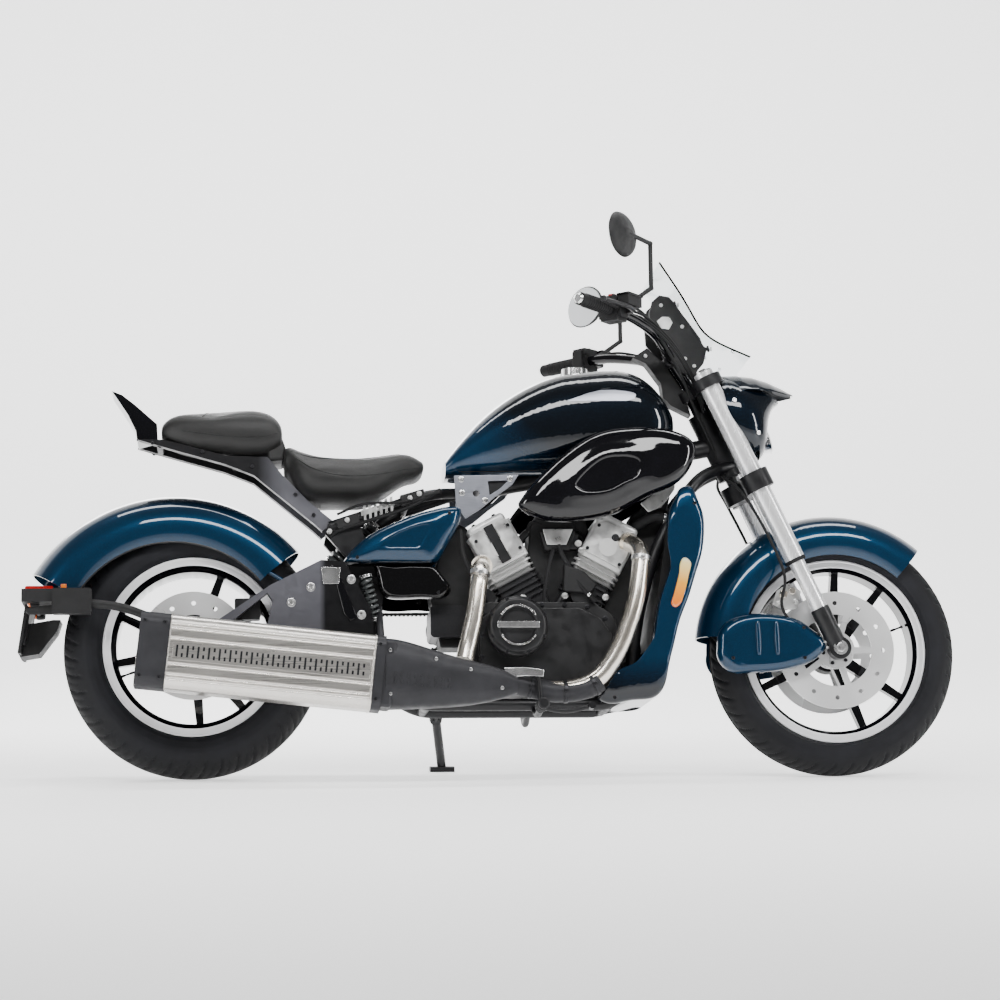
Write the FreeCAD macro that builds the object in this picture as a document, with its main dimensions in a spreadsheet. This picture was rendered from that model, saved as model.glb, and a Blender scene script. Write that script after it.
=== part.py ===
import FreeCAD
import Part
import math
import os
import Sketcher
from FreeCAD import Placement, Rotation, Vector

# Cruiser motorcycle with a V engine, parked on its side stand.
# The sizes below are for the upright machine: x forward from the rear axle,
# y to the left from the wheel line, z up from the ground, in mm and degrees.
# Every sub-part is then leaned over to the left by the same placement.

SIZES = {
    # Whole machine
    "wheelbase": 1684,
    "lean": 8,
    "rake": 25,
    "fork_offset": 35,
    "origin_forward": 782.6,
    "origin_left": 173.3,
    "clearance": 1,
    "slot_gap": 2,
    "tunnel_gap": 4,
    "running_fit": 0.05,
    "overrun": 5,
    # Rear wheel
    "rear_radius": 336,
    "rear_tyre_width": 200,
    "rear_bead_radius": 216,
    "rear_flange_radius": 232,
    "rear_rim_width": 164,
    "rear_rim_depth": 34,
    "rear_hub_radius": 52,
    "rear_hub_length": 176,
    "rear_crown_radius": 112,
    "rear_spoke_phase": 52.6,
    # Front wheel
    "front_radius": 326.5,
    "front_tyre_width": 140,
    "front_bead_radius": 228,
    "front_flange_radius": 242,
    "front_rim_width": 98,
    "front_rim_depth": 30,
    "front_hub_radius": 42,
    "front_hub_length": 112,
    "front_crown_radius": 78,
    "front_spoke_phase": 68.9,
    # Both wheels
    "spoke_spread": 17.5,
    "spoke_width": 22,
    "spoke_thickness": 30,
    "flange_thickness": 5,
    "fit_gap": 0.3,
    "axle_radius": 12,
    "axle_bore_radius": 7,
    # Brakes and final drive
    "front_disc_radius": 155,
    "front_disc_inner_radius": 95,
    "rear_disc_radius": 140,
    "rear_disc_inner_radius": 80,
    "disc_thickness": 5,
    "disc_hole_radius": 6,
    "disc_carrier_radius": 50,
    "carrier_arm_width": 16,
    "front_disc_side": 66,
    "rear_disc_side": 106,
    "belt_side": 117,
    "belt_width": 20,
    "belt_thickness": 6,
    "rear_pulley_radius": 104,
    "front_pulley_radius": 42,
    "front_pulley_z": 402,
    # Fork and clamps
    "leg_spacing": 214,
    "fork_upper_radius": 27,
    "fork_slider_radius": 21.5,
    "fork_top_z": 1062,
    "fork_upper_end_z": 562,
    "fork_slider_end_z": 432,
    "fork_bottom_radius": 29,
    "axle_clamp_width": 36,
    "lower_clamp_z": 748,
    "upper_clamp_z": 1022,
    "lower_clamp_height": 50,
    "upper_clamp_height": 30,
    "clamp_radius": 40,
    "stem_radius": 15,
    "head_tube_radius": 32,
    "front_axle_length": 262,
    # Handlebar and controls
    "bar_radius": 12.7,
    "grip_radius": 17,
    "grip_length": 118,
    "riser_radius": 15,
    "bar_rise_z": 1112,
    "bar_rise_back": 416,
    "bar_corner_y": 175,
    "bar_corner_back": 484,
    "bar_corner_z": 1160,
    "bar_elbow_y": 258,
    "bar_elbow_back": 564,
    "bar_elbow_z": 1183,
    "bar_end_y": 415,
    "bar_end_back": 698,
    "bar_end_z": 1183,
    "mirror_side": 392,
    "mirror_back": 594,
    "mirror_z": 1362,
    "mirror_width": 150,
    "mirror_height": 116,
    "mirror_depth": 26,
    "mirror_turn": 32,
    "mirror_stem_radius": 6,
    "mirror_stem_back": 506,
    "mirror_glass_thickness": 3,
    # Head lamp cowl, screen and instrument
    "cowl_rear": 34,
    "cowl_wall_gap": 12,
    "cowl_reach": 169,
    "cowl_low": 542,
    "cowl_height": 258,
    "cowl_width": 262,
    "lamp_radius": 66,
    "lamp_height": 612,
    "screen_thickness": 4,
    "screen_width": 300,
    "screen_base_back": 220,
    "screen_base_z": 1099,
    "screen_run": 238,
    "screen_rise": 256,
    "dial_back": 394,
    "dial_z": 1145,
    "dial_radius": 40,
    "dial_depth": 36,
    # Front fender and calipers
    "front_fender_radius": 366,
    "front_fender_width": 176,
    "front_fender_skirt": 252,
    "front_fender_start": 49,
    "front_fender_end": 174,
    "fender_wall": 4,
    "caliper_length": 118,
    "caliper_height": 66,
    "caliper_width": 44,
    "caliper_behind": 204.5,
    "scoop_behind": 322,
    "scoop_length": 292,
    "scoop_drop": 64,
    "scoop_height": 158,
    "scoop_width": 34,
    "scoop_flat_share": 0.45,
    # Rear fender
    "rear_fender_centre_x": -50,
    "rear_fender_centre_z": 310,
    "rear_fender_radius": 430,
    "rear_fender_width": 246,
    "rear_fender_skirt": 292,
    "rear_fender_start": 41,
    "rear_fender_end": 149,
    "stay_turn": 2,
    # Tank
    "tank_base_z": 786,
    "tank_height": 296,
    "tank_width": 296,
    "cap_radius": 34,
    "cap_height": 10,
    "tunnel_width": 74,
    # Saddle, pad and tail
    "saddle_base_z": 712,
    "saddle_height": 166,
    "saddle_width": 290,
    "pad_base_z": 820,
    "pad_height": 146,
    "pad_width": 212,
    "fin_length": 122,
    "fin_base_z": 880,
    "fin_height": 133,
    "fin_width": 124,
    "rail_base_z": 640,
    "rail_height": 242,
    "rail_thickness": 28,
    "rail_spacing": 150,
    # Covers
    "swoop_base_z": 652,
    "swoop_height": 252,
    "swoop_inner_side": 152,
    "swoop_bulge": 44,
    "side_cover_base_z": 540,
    "side_cover_height": 158,
    "side_cover_inner_side": 116,
    "side_cover_thickness": 40,
    "lower_cover_thickness": 26,
    "frame_plate_side": 104,
    "frame_plate_thickness": 8,
    # Radiator
    "radiator_width": 250,
    "radiator_thickness": 40,
    "radiator_top_z": 700,
    "radiator_bottom_z": 330,
    "cowl_side": 172,
    "cowl_wall": 22,
    "cowl_edge_side": 150,
    "cowl_swell": 6,
    "cowl_flat_share": 0.35,
    "cover_flat_share": 0.3,
    "radiator_cowl_base_z": 184,
    "radiator_cowl_height": 564,
    # Frame
    "frame_tube_radius": 16,
    "backbone_radius": 25,
    "backbone_rear_z": 754,
    "head_top_z": 985,
    "head_bottom_z": 812,
    "rail_side": 95,
    "cradle_z": 182,
    "seat_rail_side": 84,
    "seat_rail_rear_z": 650,
    "seat_rail_radius": 14,
    "cross_tube_radius": 12.5,
    "pivot_z": 408,
    "pivot_radius": 20,
    "pivot_plate_side": 72,
    "pivot_plate_thickness": 22,
    # Swingarm and shocks
    "swingarm_side": 136,
    "swingarm_thickness": 26,
    "shock_radius": 30,
    "shock_rod_radius": 9,
    "shock_top_z": 706,
    "shock_foot_z": 534,
    # Engine
    "crank_z": 325,
    "bank_angle": 28,
    "case_base_z": 214,
    "case_top_z": 448,
    "case_width": 236,
    "case_cover_width": 300,
    "fin_thickness_engine": 5,
    "case_corner": 12,
    "cam_plug_radius": 24,
    "starter_radius": 34,
    "filter_radius": 36,
    "filter_length": 62,
    "fitting_radius": 24,
    "air_box_height": 44,
    "air_box_length": 68,
    "air_box_width": 180,
    "fin_overhang": 9,
    "fin_count": 7,
    "clutch_z": 376,
    "clutch_reach": 206,
    "alternator_z": 325,
    "alternator_reach": 190,
    "cover_step_share": 0.28,
    # Exhaust
    "header_radius": 23,
    "rib_radius": 5,
    "collector_base_z": 155,
    "collector_height": 180,
    "collector_side": 245,
    "muffler_rear_z": 308,
    "muffler_slope": 6,
    "muffler_height": 190,
    "muffler_width": 128,
    "muffler_side": 246,
    "muffler_corner": 30,
    "muffler_cap_length": 76,
    "muffler_collar_length": 24,
    # Plate carrier
    "carrier_tube_radius": 11,
    "carrier_side": 158,
    "carrier_block_length": 100,
    "carrier_block_z": 409,
    "carrier_block_height": 66,
    "carrier_block_thickness": 30,
    "lamp_rise": 24,
    "plate_width": 200,
    "plate_height": 150,
    "plate_thickness": 4,
    "plate_z": 470,
    "plate_tilt": 8,
    # Side stand
    "stand_side": 158,
    "stand_z": 178,
    "stand_foot_side": 300,
    "stand_foot_ahead": 26,
    "stand_leg_radius": 12,
    "stand_barrel_radius": 17,
    "stand_barrel_length": 26,
    "stand_pin_radius": 7,
    "stand_arm_radius": 4.5,
    "stand_foot_length": 66,
    "stand_foot_width": 46,
    "stand_foot_thickness": 7,
    # Foot controls
    "peg_z": 162,
    "peg_left_lift": 46,
    "peg_inner_side": 236,
    "peg_length": 92,
    "peg_radius": 14,
}

# Places along the machine: 0 at the rear axle, 1 at the rear tyre's front edge, 2 at the front
# fender's rear edge and 3 at the front axle.
STATION_SHARES = {
    "front_pulley_x": 1.3248,
    "shock_top_x": 1.2128,
    "shock_foot_x": 1.0081,
    "tank_rear_x": 1.3259,
    "cap_x": 1.6864,
    "saddle_rear_x": 0.6935,
    "rail_rear_x": -0.4524,
    "pad_rear_x": -0.2679,
    "fin_tip_x": -0.6458,
    "swoop_rear_x": 1.5143,
    "side_cover_rear_x": 1.0499,
    "radiator_top_x": 1.9430,
    "radiator_bottom_x": 1.8615,
    "backbone_rear_x": 1.3707,
    "seat_rail_rear_x": 1.0163,
    "pivot_x": 1.0957,
    "crank_x": 1.6100,
    "case_rear_x": 1.3758,
    "case_front_x": 1.7831,
    "clutch_x": 1.5031,
    "alternator_x": 1.6100,
    "stand_x": 1.3096,
    "peg_x": 1.5540,
    "plate_x": -1.2619,
    "carrier_block_rear_x": -1.0625,
    "tank_front_x": 1.9430,
    "saddle_front_x": 1.2719,
    "rail_front_x": 1.0275,
    "pad_front_x": 0.6845,
    "swoop_front_x": 1.9868,
    "side_cover_front_x": 1.3656,
    "collector_rear_x": 1.1507,
    "collector_front_x": 1.4929,
    "muffler_rear_x": -0.4048,
    "cradle_front_x": 1.7525,
    "cradle_rear_x": 1.2281,
    "radiator_cowl_rear_x": 1.7189,
    "radiator_cowl_front_x": 2.0219,
}
# Engine sizes as shares of the bay between the rear tyre and the front fender.
BAY_SHARES = {
    "barrel_start": 0.1141,
    "barrel_end": 0.2607,
    "barrel_depth": 0.1527,
    "head_end": 0.3585,
    "head_depth": 0.2138,
    "head_cover_end": 0.3931,
    "barrel_width": 0.1141,
    "head_width": 0.1242,
    "head_cover_width": 0.1100,
    "clutch_radius": 0.0794,
    "alternator_radius": 0.0998,
}

# What turns with the fork is placed back from the front axle.
STEERED = ("bar_rise", "bar_corner", "bar_elbow", "bar_end", "mirror", "mirror_stem", "screen_base", "dial")
MUFFLER_SHARE = 0.9968

document = FreeCAD.newDocument("cruiser_motorcycle")
sheet = document.addObject("Spreadsheet::Sheet", "Sizes")


def station_words(share):
    """The sheet's words for a place along the machine."""
    if share <= 1:
        return "rear_radius * %s" % share
    if share <= 2:
        return "rear_radius + bay * %s" % round(share - 1, 4)
    return "wheelbase - front_fender_radius * %s" % round(3 - share, 4)


rows = {alias: str(value) for alias, value in SIZES.items()}
rows["bay"] = "=wheelbase - front_fender_radius - rear_radius"
for alias, share in STATION_SHARES.items():
    rows[alias] = "=" + station_words(share)
for alias, share in BAY_SHARES.items():
    rows[alias] = "=bay * %s" % share
for name in STEERED:
    rows[name + "_x"] = "=wheelbase - %s_back" % name
rows["muffler_length"] = "=(collector_rear_x - muffler_rear_x) * %s" % MUFFLER_SHARE
for row, (alias, value) in enumerate(rows.items(), start=1):
    sheet.set("A%d" % row, alias)
    sheet.set("B%d" % row, value)
    sheet.setAlias("B%d" % row, alias)
document.recompute()


def words(value):
    return value.text if isinstance(value, Size) else repr(float(value))


def joined(left, sign, right, value):
    return Size(value, "(%s %s %s)" % (words(left), sign, words(right)))


class Size(float):
    """A number that remembers the sheet expression it was worked out from."""

    def __new__(cls, value, text):
        made = float.__new__(cls, value)
        made.text = text
        return made

    def __add__(self, other):
        return joined(self, "+", other, float(self) + float(other))

    def __radd__(self, other):
        return joined(other, "+", self, float(other) + float(self))

    def __sub__(self, other):
        return joined(self, "-", other, float(self) - float(other))

    def __rsub__(self, other):
        return joined(other, "-", self, float(other) - float(self))

    def __mul__(self, other):
        return joined(self, "*", other, float(self) * float(other))

    def __rmul__(self, other):
        return joined(other, "*", self, float(other) * float(self))

    def __truediv__(self, other):
        return joined(self, "/", other, float(self) / float(other))

    def __neg__(self):
        return Size(-float(self), "(0 - %s)" % self.text)


class Sizes:
    """Reads a size from the sheet by its alias."""

    def __getattr__(self, alias):
        return Size(sheet.get(alias), "Sizes." + alias)


s = Sizes()

TREAD_SHARES = (0.14, 0.40, 0.62, 0.80, 0.92)
TYRE_WALL_SHARES = ((0.06, 0.60), (0.30, 1.0), (0.42, 0.965))


def tyre_corners(radius, width, bead_radius, flange_radius, rim_width, crown_radius):
    """The tyre's section as (out from the axle, to the side), right side first."""
    half = width / 2
    bead = rim_width / 2 - s.flange_thickness - s.fit_gap
    wall = radius - flange_radius
    side = [
        (bead_radius + s.fit_gap, bead),
        (flange_radius + s.fit_gap, bead),
    ]
    for up_share, out_share in TYRE_WALL_SHARES:
        side.append((flange_radius + wall * up_share, bead + (half - bead) * out_share))
    for share in reversed(TREAD_SHARES):
        drop_share = (1 - math.sqrt(1 - (float(half) * share / float(crown_radius)) ** 2))
        side.append((radius - crown_radius * drop_share, half * share))
    return [(out, -across) for out, across in side] + list(reversed(side))


def resting_lift(corners, radius):
    """How far the lean lifts an axle when the tyre rolls on to its shoulder."""
    reach = max(out * math.cos(lean) + abs(across) * math.sin(lean) for out, across in corners)
    return float(reach) - float(radius) * math.cos(lean)


lean = math.radians(s.lean)
rear_corners = tyre_corners(s.rear_radius, s.rear_tyre_width, s.rear_bead_radius, s.rear_flange_radius,
                            s.rear_rim_width, s.rear_crown_radius)
front_corners = tyre_corners(s.front_radius, s.front_tyre_width, s.front_bead_radius, s.front_flange_radius,
                             s.front_rim_width, s.front_crown_radius)

# The lean: both tyres roll on to the side of their crowns, which lifts the
# axles a little, and the two lifts differ, so the machine also pitches.
rear_lift = resting_lift(rear_corners, s.rear_radius)
front_lift = resting_lift(front_corners, s.front_radius)
pitch = math.degrees(math.asin((front_lift - rear_lift) / s.wheelbase))
LEAN = Placement(Vector(-s.origin_forward, -s.origin_left, rear_lift), Rotation())
LEAN = LEAN.multiply(Placement(Vector(), Rotation(Vector(0, 1, 0), -pitch)))
LEAN = LEAN.multiply(Placement(Vector(), Rotation(Vector(1, 0, 0), -s.lean)))

rake = math.radians(s.rake)
STEER_UP = Vector(-math.sin(rake), 0, math.cos(rake))
STEER_AHEAD = Vector(math.cos(rake), 0, math.sin(rake))
FRONT_AXLE = Vector(s.wheelbase, 0, s.front_radius)
REAR_AXLE = Vector(0, 0, s.rear_radius)
SIDES = {"right": -1, "left": 1}
HALF_TURN = 180
FULL_TURN = 360
SIDEWAYS = Rotation(Vector(1, 0, 0), 90)

parts = []


def bind(item, field, value):
    item.setExpression(field, words(value))


def placed(item, label, place=None):
    """Names a finished sub-part and leans it over with the machine."""
    item.Label = label
    item.Placement = LEAN.multiply(place) if place else LEAN
    parts.append(item)
    return item


def fixed_shape(label, shape):
    """A sub-part whose form is set by the outline functions below."""
    item = document.addObject("Part::Feature", label)
    item.Shape = shape
    return placed(item, label, shape.Placement)


def plain(label):
    """The shape of an earlier sub-part as it is on the upright machine."""
    item = [item for item in parts if item.Label == label][0]
    shape = item.Shape.copy()
    shape.Placement = LEAN.inverse().multiply(shape.Placement)
    return shape


def clear_of(shape, *labels):
    """Cuts away what earlier sub-parts already fill, and any sliver the cut leaves."""
    left = shape.cut([plain(label) for label in labels]).Solids
    largest = max(solid.Volume for solid in left)
    whole = [solid for solid in left if solid.Volume > largest * SLIVER_SHARE]
    return whole[0] if len(whole) == 1 else Part.makeCompound(whole)


SLIVER_SHARE = 0.04


def new_body(label):
    return document.addObject("PartDesign::Body", label)


def origin_plane(body, role):
    return [item for item in body.Origin.OriginFeatures if item.Role == role][0]


def new_sketch(body, name, role, offset=None):
    sketch = body.newObject("Sketcher::SketchObject", name)
    sketch.AttachmentSupport = [(origin_plane(body, role), "")]
    sketch.MapMode = "FlatFace"
    if offset is not None:
        bind(sketch, "AttachmentOffset.Base.z", offset)
    return sketch


def pin_point(sketch, geometry, end, corner):
    for kind, axis, value in zip(("DistanceX", "DistanceY"), (-2, -1), corner):
        if float(value) == 0:
            sketch.addConstraint(Sketcher.Constraint("PointOnObject", geometry, end, axis))
            continue
        number = sketch.addConstraint(Sketcher.Constraint(kind, -1, 1, geometry, end, float(value)))
        if isinstance(value, Size):
            bind(sketch, "Constraints[%d]" % number, value)


def draw_outline(sketch, corners):
    """A closed outline of straight sides with every corner held by sizes."""
    first = sketch.GeometryCount
    count = len(corners)
    spots = [Vector(float(across), float(up), 0) for across, up in corners]
    for number in range(count):
        sketch.addGeometry(Part.LineSegment(spots[number], spots[(number + 1) % count]), False)
    for number in range(count):
        after = first + (number + 1) % count
        sketch.addConstraint(Sketcher.Constraint("Coincident", first + number, 2, after, 1))
        pin_point(sketch, first + number, 1, corners[number])


def pad(body, sketch, length, both_ways=False, backwards=False):
    feature = body.newObject("PartDesign::Pad", "Pad")
    feature.Profile = sketch
    bind(feature, "Length", length)
    feature.Midplane = both_ways
    feature.Reversed = backwards
    return feature


def revolve(body, sketch, angle=None):
    """Turns the profile about the sketch's upright axis."""
    feature = body.newObject("PartDesign::Revolution", "Revolution")
    feature.Profile = sketch
    feature.ReferenceAxis = (sketch, ["V_Axis"])
    if angle is None:
        feature.Angle = FULL_TURN
    else:
        bind(feature, "Angle", angle)
    return feature


def repeat_round(body, features, count):
    pattern = body.newObject("PartDesign::PolarPattern", "Pattern")
    pattern.Originals = features
    pattern.Axis = (origin_plane(body, "Y_Axis"), [""])
    pattern.Angle = FULL_TURN
    pattern.Occurrences = count
    body.Tip = pattern
    return pattern


def share_points(shares, start, run, base, rise):
    """Turns outline shares into points of a box given by sizes."""
    return [(start + run * along, base + rise * up) for along, up in shares]


def side_outline(points, side=0):
    return [Vector(float(along), float(side), float(up)) for along, up in points]


def slab(points, near, far):
    """A plate with a straight-sided outline in side view, between two sides."""
    spots = side_outline(points, near)
    face = Part.Face(Part.makePolygon(spots + spots[:1]))
    return face.extrude(Vector(0, float(far) - float(near), 0))


def ring_section(x, half_width, top, bottom, fullness, count=12):
    """A rounded closed section standing across the machine."""
    middle = (top + bottom) / 2
    half = (top - bottom) / 2
    power = 2 / fullness
    spots = []
    for number in range(count):
        angle = 2 * math.pi * number / count
        across = math.copysign(abs(math.cos(angle)) ** power, math.cos(angle))
        up = math.copysign(abs(math.sin(angle)) ** power, math.sin(angle))
        spots.append(Vector(float(x), float(half_width * across), float(middle + half * up)))
    curve = Part.BSplineCurve()
    curve.interpolate(spots, PeriodicFlag=True)
    return Part.Wire(curve.toShape())


def hull(shares, start, run, base, rise, width, fullness):
    """A solid drawn through rounded sections: place, top, bottom and half width as shares."""
    sections = []
    for along, top, bottom, half in shares:
        x = float(start + run * along)
        high = float(base + rise * top)
        low = float(base + rise * bottom)
        sections.append(ring_section(x, float(width / 2 * half), high, low, fullness))
    return Part.makeLoft(sections, True, False)


def tube(points, radius, bend_share=0.45):
    """A round tube along straight runs joined by tangent arcs."""
    spots = [Vector(*[float(value) for value in point]) for point in points]
    edges = []
    start = spots[0]
    for before, corner, after in zip(spots, spots[1:], spots[2:]):
        incoming = (before - corner).normalize()
        outgoing = (after - corner).normalize()
        reach = bend_share * min((before - corner).Length, (after - corner).Length)
        enter = corner + incoming * reach
        leave = corner + outgoing * reach
        half_turn = (math.pi - incoming.getAngle(outgoing)) / 2
        bend = reach / math.tan(half_turn)
        towards = (incoming + outgoing).normalize()
        centre = corner + towards * (bend / math.cos(half_turn))
        middle = centre - towards * bend
        edges.append(Part.LineSegment(start, enter).toShape())
        edges.append(Part.Arc(enter, middle, leave).toShape())
        start = leave
    edges.append(Part.LineSegment(start, spots[-1]).toShape())
    path = Part.Wire(edges)
    first = spots[1] - spots[0]
    ring = Part.Wire(Part.makeCircle(float(radius), spots[0], first))
    return path.makePipeShell([ring], True, False)


def rod(start, end, radius):
    start = Vector(*[float(value) for value in start])
    end = Vector(*[float(value) for value in end])
    return Part.makeCylinder(float(radius), (end - start).Length, start, end - start)


def block(low, high):
    low = Vector(*[float(value) for value in low])
    high = Vector(*[float(value) for value in high])
    span = high - low
    return Part.makeBox(span.x, span.y, span.z, low)


def station(share):
    """A place along the machine, as in STATION_SHARES."""
    if share <= 1:
        return s.rear_radius * share
    if share <= 2:
        return s.rear_radius + s.bay * round(share - 1, 4)
    return s.wheelbase - s.front_fender_radius * round(3 - share, 4)


def route(shares, sign=1):
    """Points from (station, share of the frame's half width, share of the head's height)."""
    return [Vector(float(station(along)), float(s.rail_side) * across * sign, float(s.head_top_z) * up)
            for along, across, up in shares]


def outline(shares):
    """Corners from (station, share of the head's height)."""
    return [(station(along), s.head_top_z * up) for along, up in shares]


DOME_SHARES = [
    # outward, size left
    (0.00, 1.00), (0.30, 0.985), (0.56, 0.93), (0.78, 0.82), (0.93, 0.64), (1.00, 0.36),
]


def dome(points, near, far, squash_share=1):
    """A closed smooth outline that swells from the near side to the far one."""
    spots = side_outline(points, near)[:-1] if points[0] == points[-1] else side_outline(points, near)
    middle = sum(spots, Vector()) * (1 / len(spots))
    wires = []
    for outward, share in DOME_SHARES:
        side = float(near) + (float(far) - float(near)) * outward
        size = 1 - (1 - share) * squash_share
        curve = Part.BSplineCurve()
        curve.interpolate([Vector(middle.x + (spot.x - middle.x) * size, side,
                                  middle.z + (spot.z - middle.z) * size) for spot in spots],
                          PeriodicFlag=True)
        wires.append(Part.Wire(curve.toShape()))
    return Part.makeLoft(wires, True)


def fork_spot(ahead, up, side=0):
    """A place given in the fork's own directions from the front axle."""
    return FRONT_AXLE + STEER_AHEAD * float(ahead) + STEER_UP * float(up) + Vector(0, float(side), 0)


def up_fork(z):
    """How far up the leg a height is."""
    return (float(z) - float(s.front_radius)) / math.cos(rake)


def round_edges(shape, radius, chosen):
    return shape.makeFillet(float(radius), chosen)


def edges_along(shape, direction):
    chosen = []
    for edge in shape.Edges:
        if len(edge.Vertexes) == 2:
            run = edge.Vertexes[1].Point - edge.Vertexes[0].Point
            if run.Length > 0 and abs(abs(run.normalize().dot(direction)) - 1) < 1e-6:
                chosen.append(edge)
    return chosen


# Wheels

def make_tyre(label, corners, place):
    body = new_body(label)
    sketch = new_sketch(body, label + "_section", "XY_Plane")
    draw_outline(sketch, corners)
    revolve(body, sketch)
    return placed(body, label, place)


RIM_FLOOR_SHARE = 0.7
HUB_END_SHARE = 0.8
SPOKE_ROOT_SHARE = 0.7
SPOKE_WIDTH_SHARES = (0.7, 0.42)
PAIR_COUNT = 3


def make_rim(label, flange_radius, bead_radius, rim_width, depth, hub_radius, hub_length, phase, place):
    body = new_body(label)
    sketch = new_sketch(body, label + "_section", "XY_Plane")
    half = rim_width / 2
    wall = s.flange_thickness
    draw_outline(sketch, [
        (bead_radius, -half + wall),
        (bead_radius, half - wall),
        (flange_radius, half - wall),
        (flange_radius, half),
        (bead_radius - wall, half),
        (flange_radius - depth, half * RIM_FLOOR_SHARE),
        (flange_radius - depth, -half * RIM_FLOOR_SHARE),
        (bead_radius - wall, -half),
        (flange_radius, -half),
        (flange_radius, -half + wall),
    ])
    revolve(body, sketch)
    hub = new_sketch(body, label + "_hub", "XY_Plane")
    draw_outline(hub, [
        (s.axle_radius + s.running_fit, -hub_length / 2),
        (s.axle_radius + s.running_fit, hub_length / 2),
        (hub_radius * HUB_END_SHARE, hub_length / 2),
        (hub_radius, s.spoke_thickness / 2),
        (hub_radius, -s.spoke_thickness / 2),
        (hub_radius * HUB_END_SHARE, -hub_length / 2),
    ])
    document.recompute()
    spokes = []
    for number, turn in enumerate((-s.spoke_spread, s.spoke_spread)):
        spoke = new_sketch(body, "%s_spoke_%d" % (label, number), "XZ_Plane")
        reach = flange_radius - depth + s.flange_thickness
        angle = math.radians(float(phase + turn))
        along = Vector(math.cos(angle), math.sin(angle), 0)
        across = Vector(-math.sin(angle), math.cos(angle), 0)
        root = float(hub_radius * SPOKE_ROOT_SHARE)
        half_root = float(s.spoke_width * SPOKE_WIDTH_SHARES[0])
        half_tip = float(s.spoke_width * SPOKE_WIDTH_SHARES[1])
        spots = [along * root + across * half_root, along * float(reach) + across * half_tip,
                 along * float(reach) - across * half_tip, along * root - across * half_root]
        for index in range(len(spots)):
            spoke.addGeometry(Part.LineSegment(spots[index], spots[(index + 1) % len(spots)]), False)
        for index in range(len(spots)):
            after = (index + 1) % len(spots)
            spoke.addConstraint(Sketcher.Constraint("Coincident", index, 2, after, 1))
        spokes.append(pad(body, spoke, s.spoke_thickness, both_ways=True))
        document.recompute()
    repeat_round(body, spokes, PAIR_COUNT)
    document.recompute()
    revolve(body, hub)
    return placed(body, label, place)


HOLE_COUNT = 12
ARM_COUNT = 5


def make_disc(label, radius, inner_radius, sides, hub_radius, place):
    """Brake discs with a ring of holes, carried on arms from the hub."""
    discs = []
    for side in sides:
        ring = Part.makeCylinder(float(radius), float(s.disc_thickness), Vector(0, float(side), 0),
                                 Vector(0, 1, 0))
        ring = ring.cut(Part.makeCylinder(float(inner_radius), float(s.disc_thickness),
                                          Vector(0, float(side), 0), Vector(0, 1, 0)))
        middle = float((radius + inner_radius) / 2)
        holes = []
        for number in range(HOLE_COUNT):
            angle = 2 * math.pi * number / HOLE_COUNT
            spot = Vector(middle * math.cos(angle), float(side) - float(s.overrun), middle * math.sin(angle))
            holes.append(Part.makeCylinder(float(s.disc_hole_radius),
                                           float(s.disc_thickness + s.overrun * 2), spot, Vector(0, 1, 0)))
        ring = ring.cut(Part.makeCompound(holes))
        carrier = Part.makeCylinder(float(s.disc_carrier_radius), float(s.disc_thickness),
                                    Vector(0, float(side), 0), Vector(0, 1, 0))
        arms = []
        for number in range(ARM_COUNT):
            arm = Part.makeBox(float(inner_radius + s.disc_hole_radius), float(s.disc_thickness),
                               float(s.carrier_arm_width),
                               Vector(0, float(side), float(-s.carrier_arm_width / 2)))
            arm.rotate(Vector(), Vector(0, 1, 0), FULL_TURN / ARM_COUNT * number)
            arms.append(arm)
        disc = ring.fuse([carrier] + arms)
        disc = disc.cut(Part.makeCylinder(float(hub_radius), float(s.disc_thickness),
                                          Vector(0, float(side), 0), Vector(0, 1, 0)))
        discs.append(disc.removeSplitter())
    shape = Part.makeCompound(discs) if len(discs) > 1 else discs[0]
    item = document.addObject("Part::Feature", label)
    item.Shape = shape
    return placed(item, label, place)


PULLEY_WEB_SHARE = 0.3
PULLEY_RIM_SHARE = 0.86


def make_rear_wheel():
    place = Placement(REAR_AXLE, Rotation())
    make_tyre("rear_tyre", rear_corners, place)
    make_rim("rear_rim", s.rear_flange_radius, s.rear_bead_radius, s.rear_rim_width, s.rear_rim_depth,
             s.rear_hub_radius, s.rear_hub_length, s.rear_spoke_phase, place)
    side = -s.rear_disc_side - s.disc_thickness / 2
    make_disc("rear_disc", s.rear_disc_radius, s.rear_disc_inner_radius, [side],
              s.axle_radius + s.clearance, place)
    pulley = new_body("rear_pulley")
    sketch = new_sketch(pulley, "rear_pulley_section", "XY_Plane")
    near = s.belt_side - s.belt_width / 2
    far = s.belt_side + s.belt_width / 2
    web = s.belt_width * PULLEY_WEB_SHARE
    draw_outline(sketch, [
        (s.axle_radius + s.running_fit, s.rear_hub_length / 2),
        (s.disc_carrier_radius, s.rear_hub_length / 2),
        (s.disc_carrier_radius, near + web),
        (s.rear_pulley_radius * PULLEY_RIM_SHARE, near + web),
        (s.rear_pulley_radius * PULLEY_RIM_SHARE, near),
        (s.rear_pulley_radius, near),
        (s.rear_pulley_radius, far),
        (s.rear_pulley_radius * PULLEY_RIM_SHARE, far),
        (s.rear_pulley_radius * PULLEY_RIM_SHARE, far - web),
        (s.axle_radius + s.running_fit, far - web),
    ])
    revolve(pulley, sketch)
    placed(pulley, "rear_pulley", place)


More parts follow.
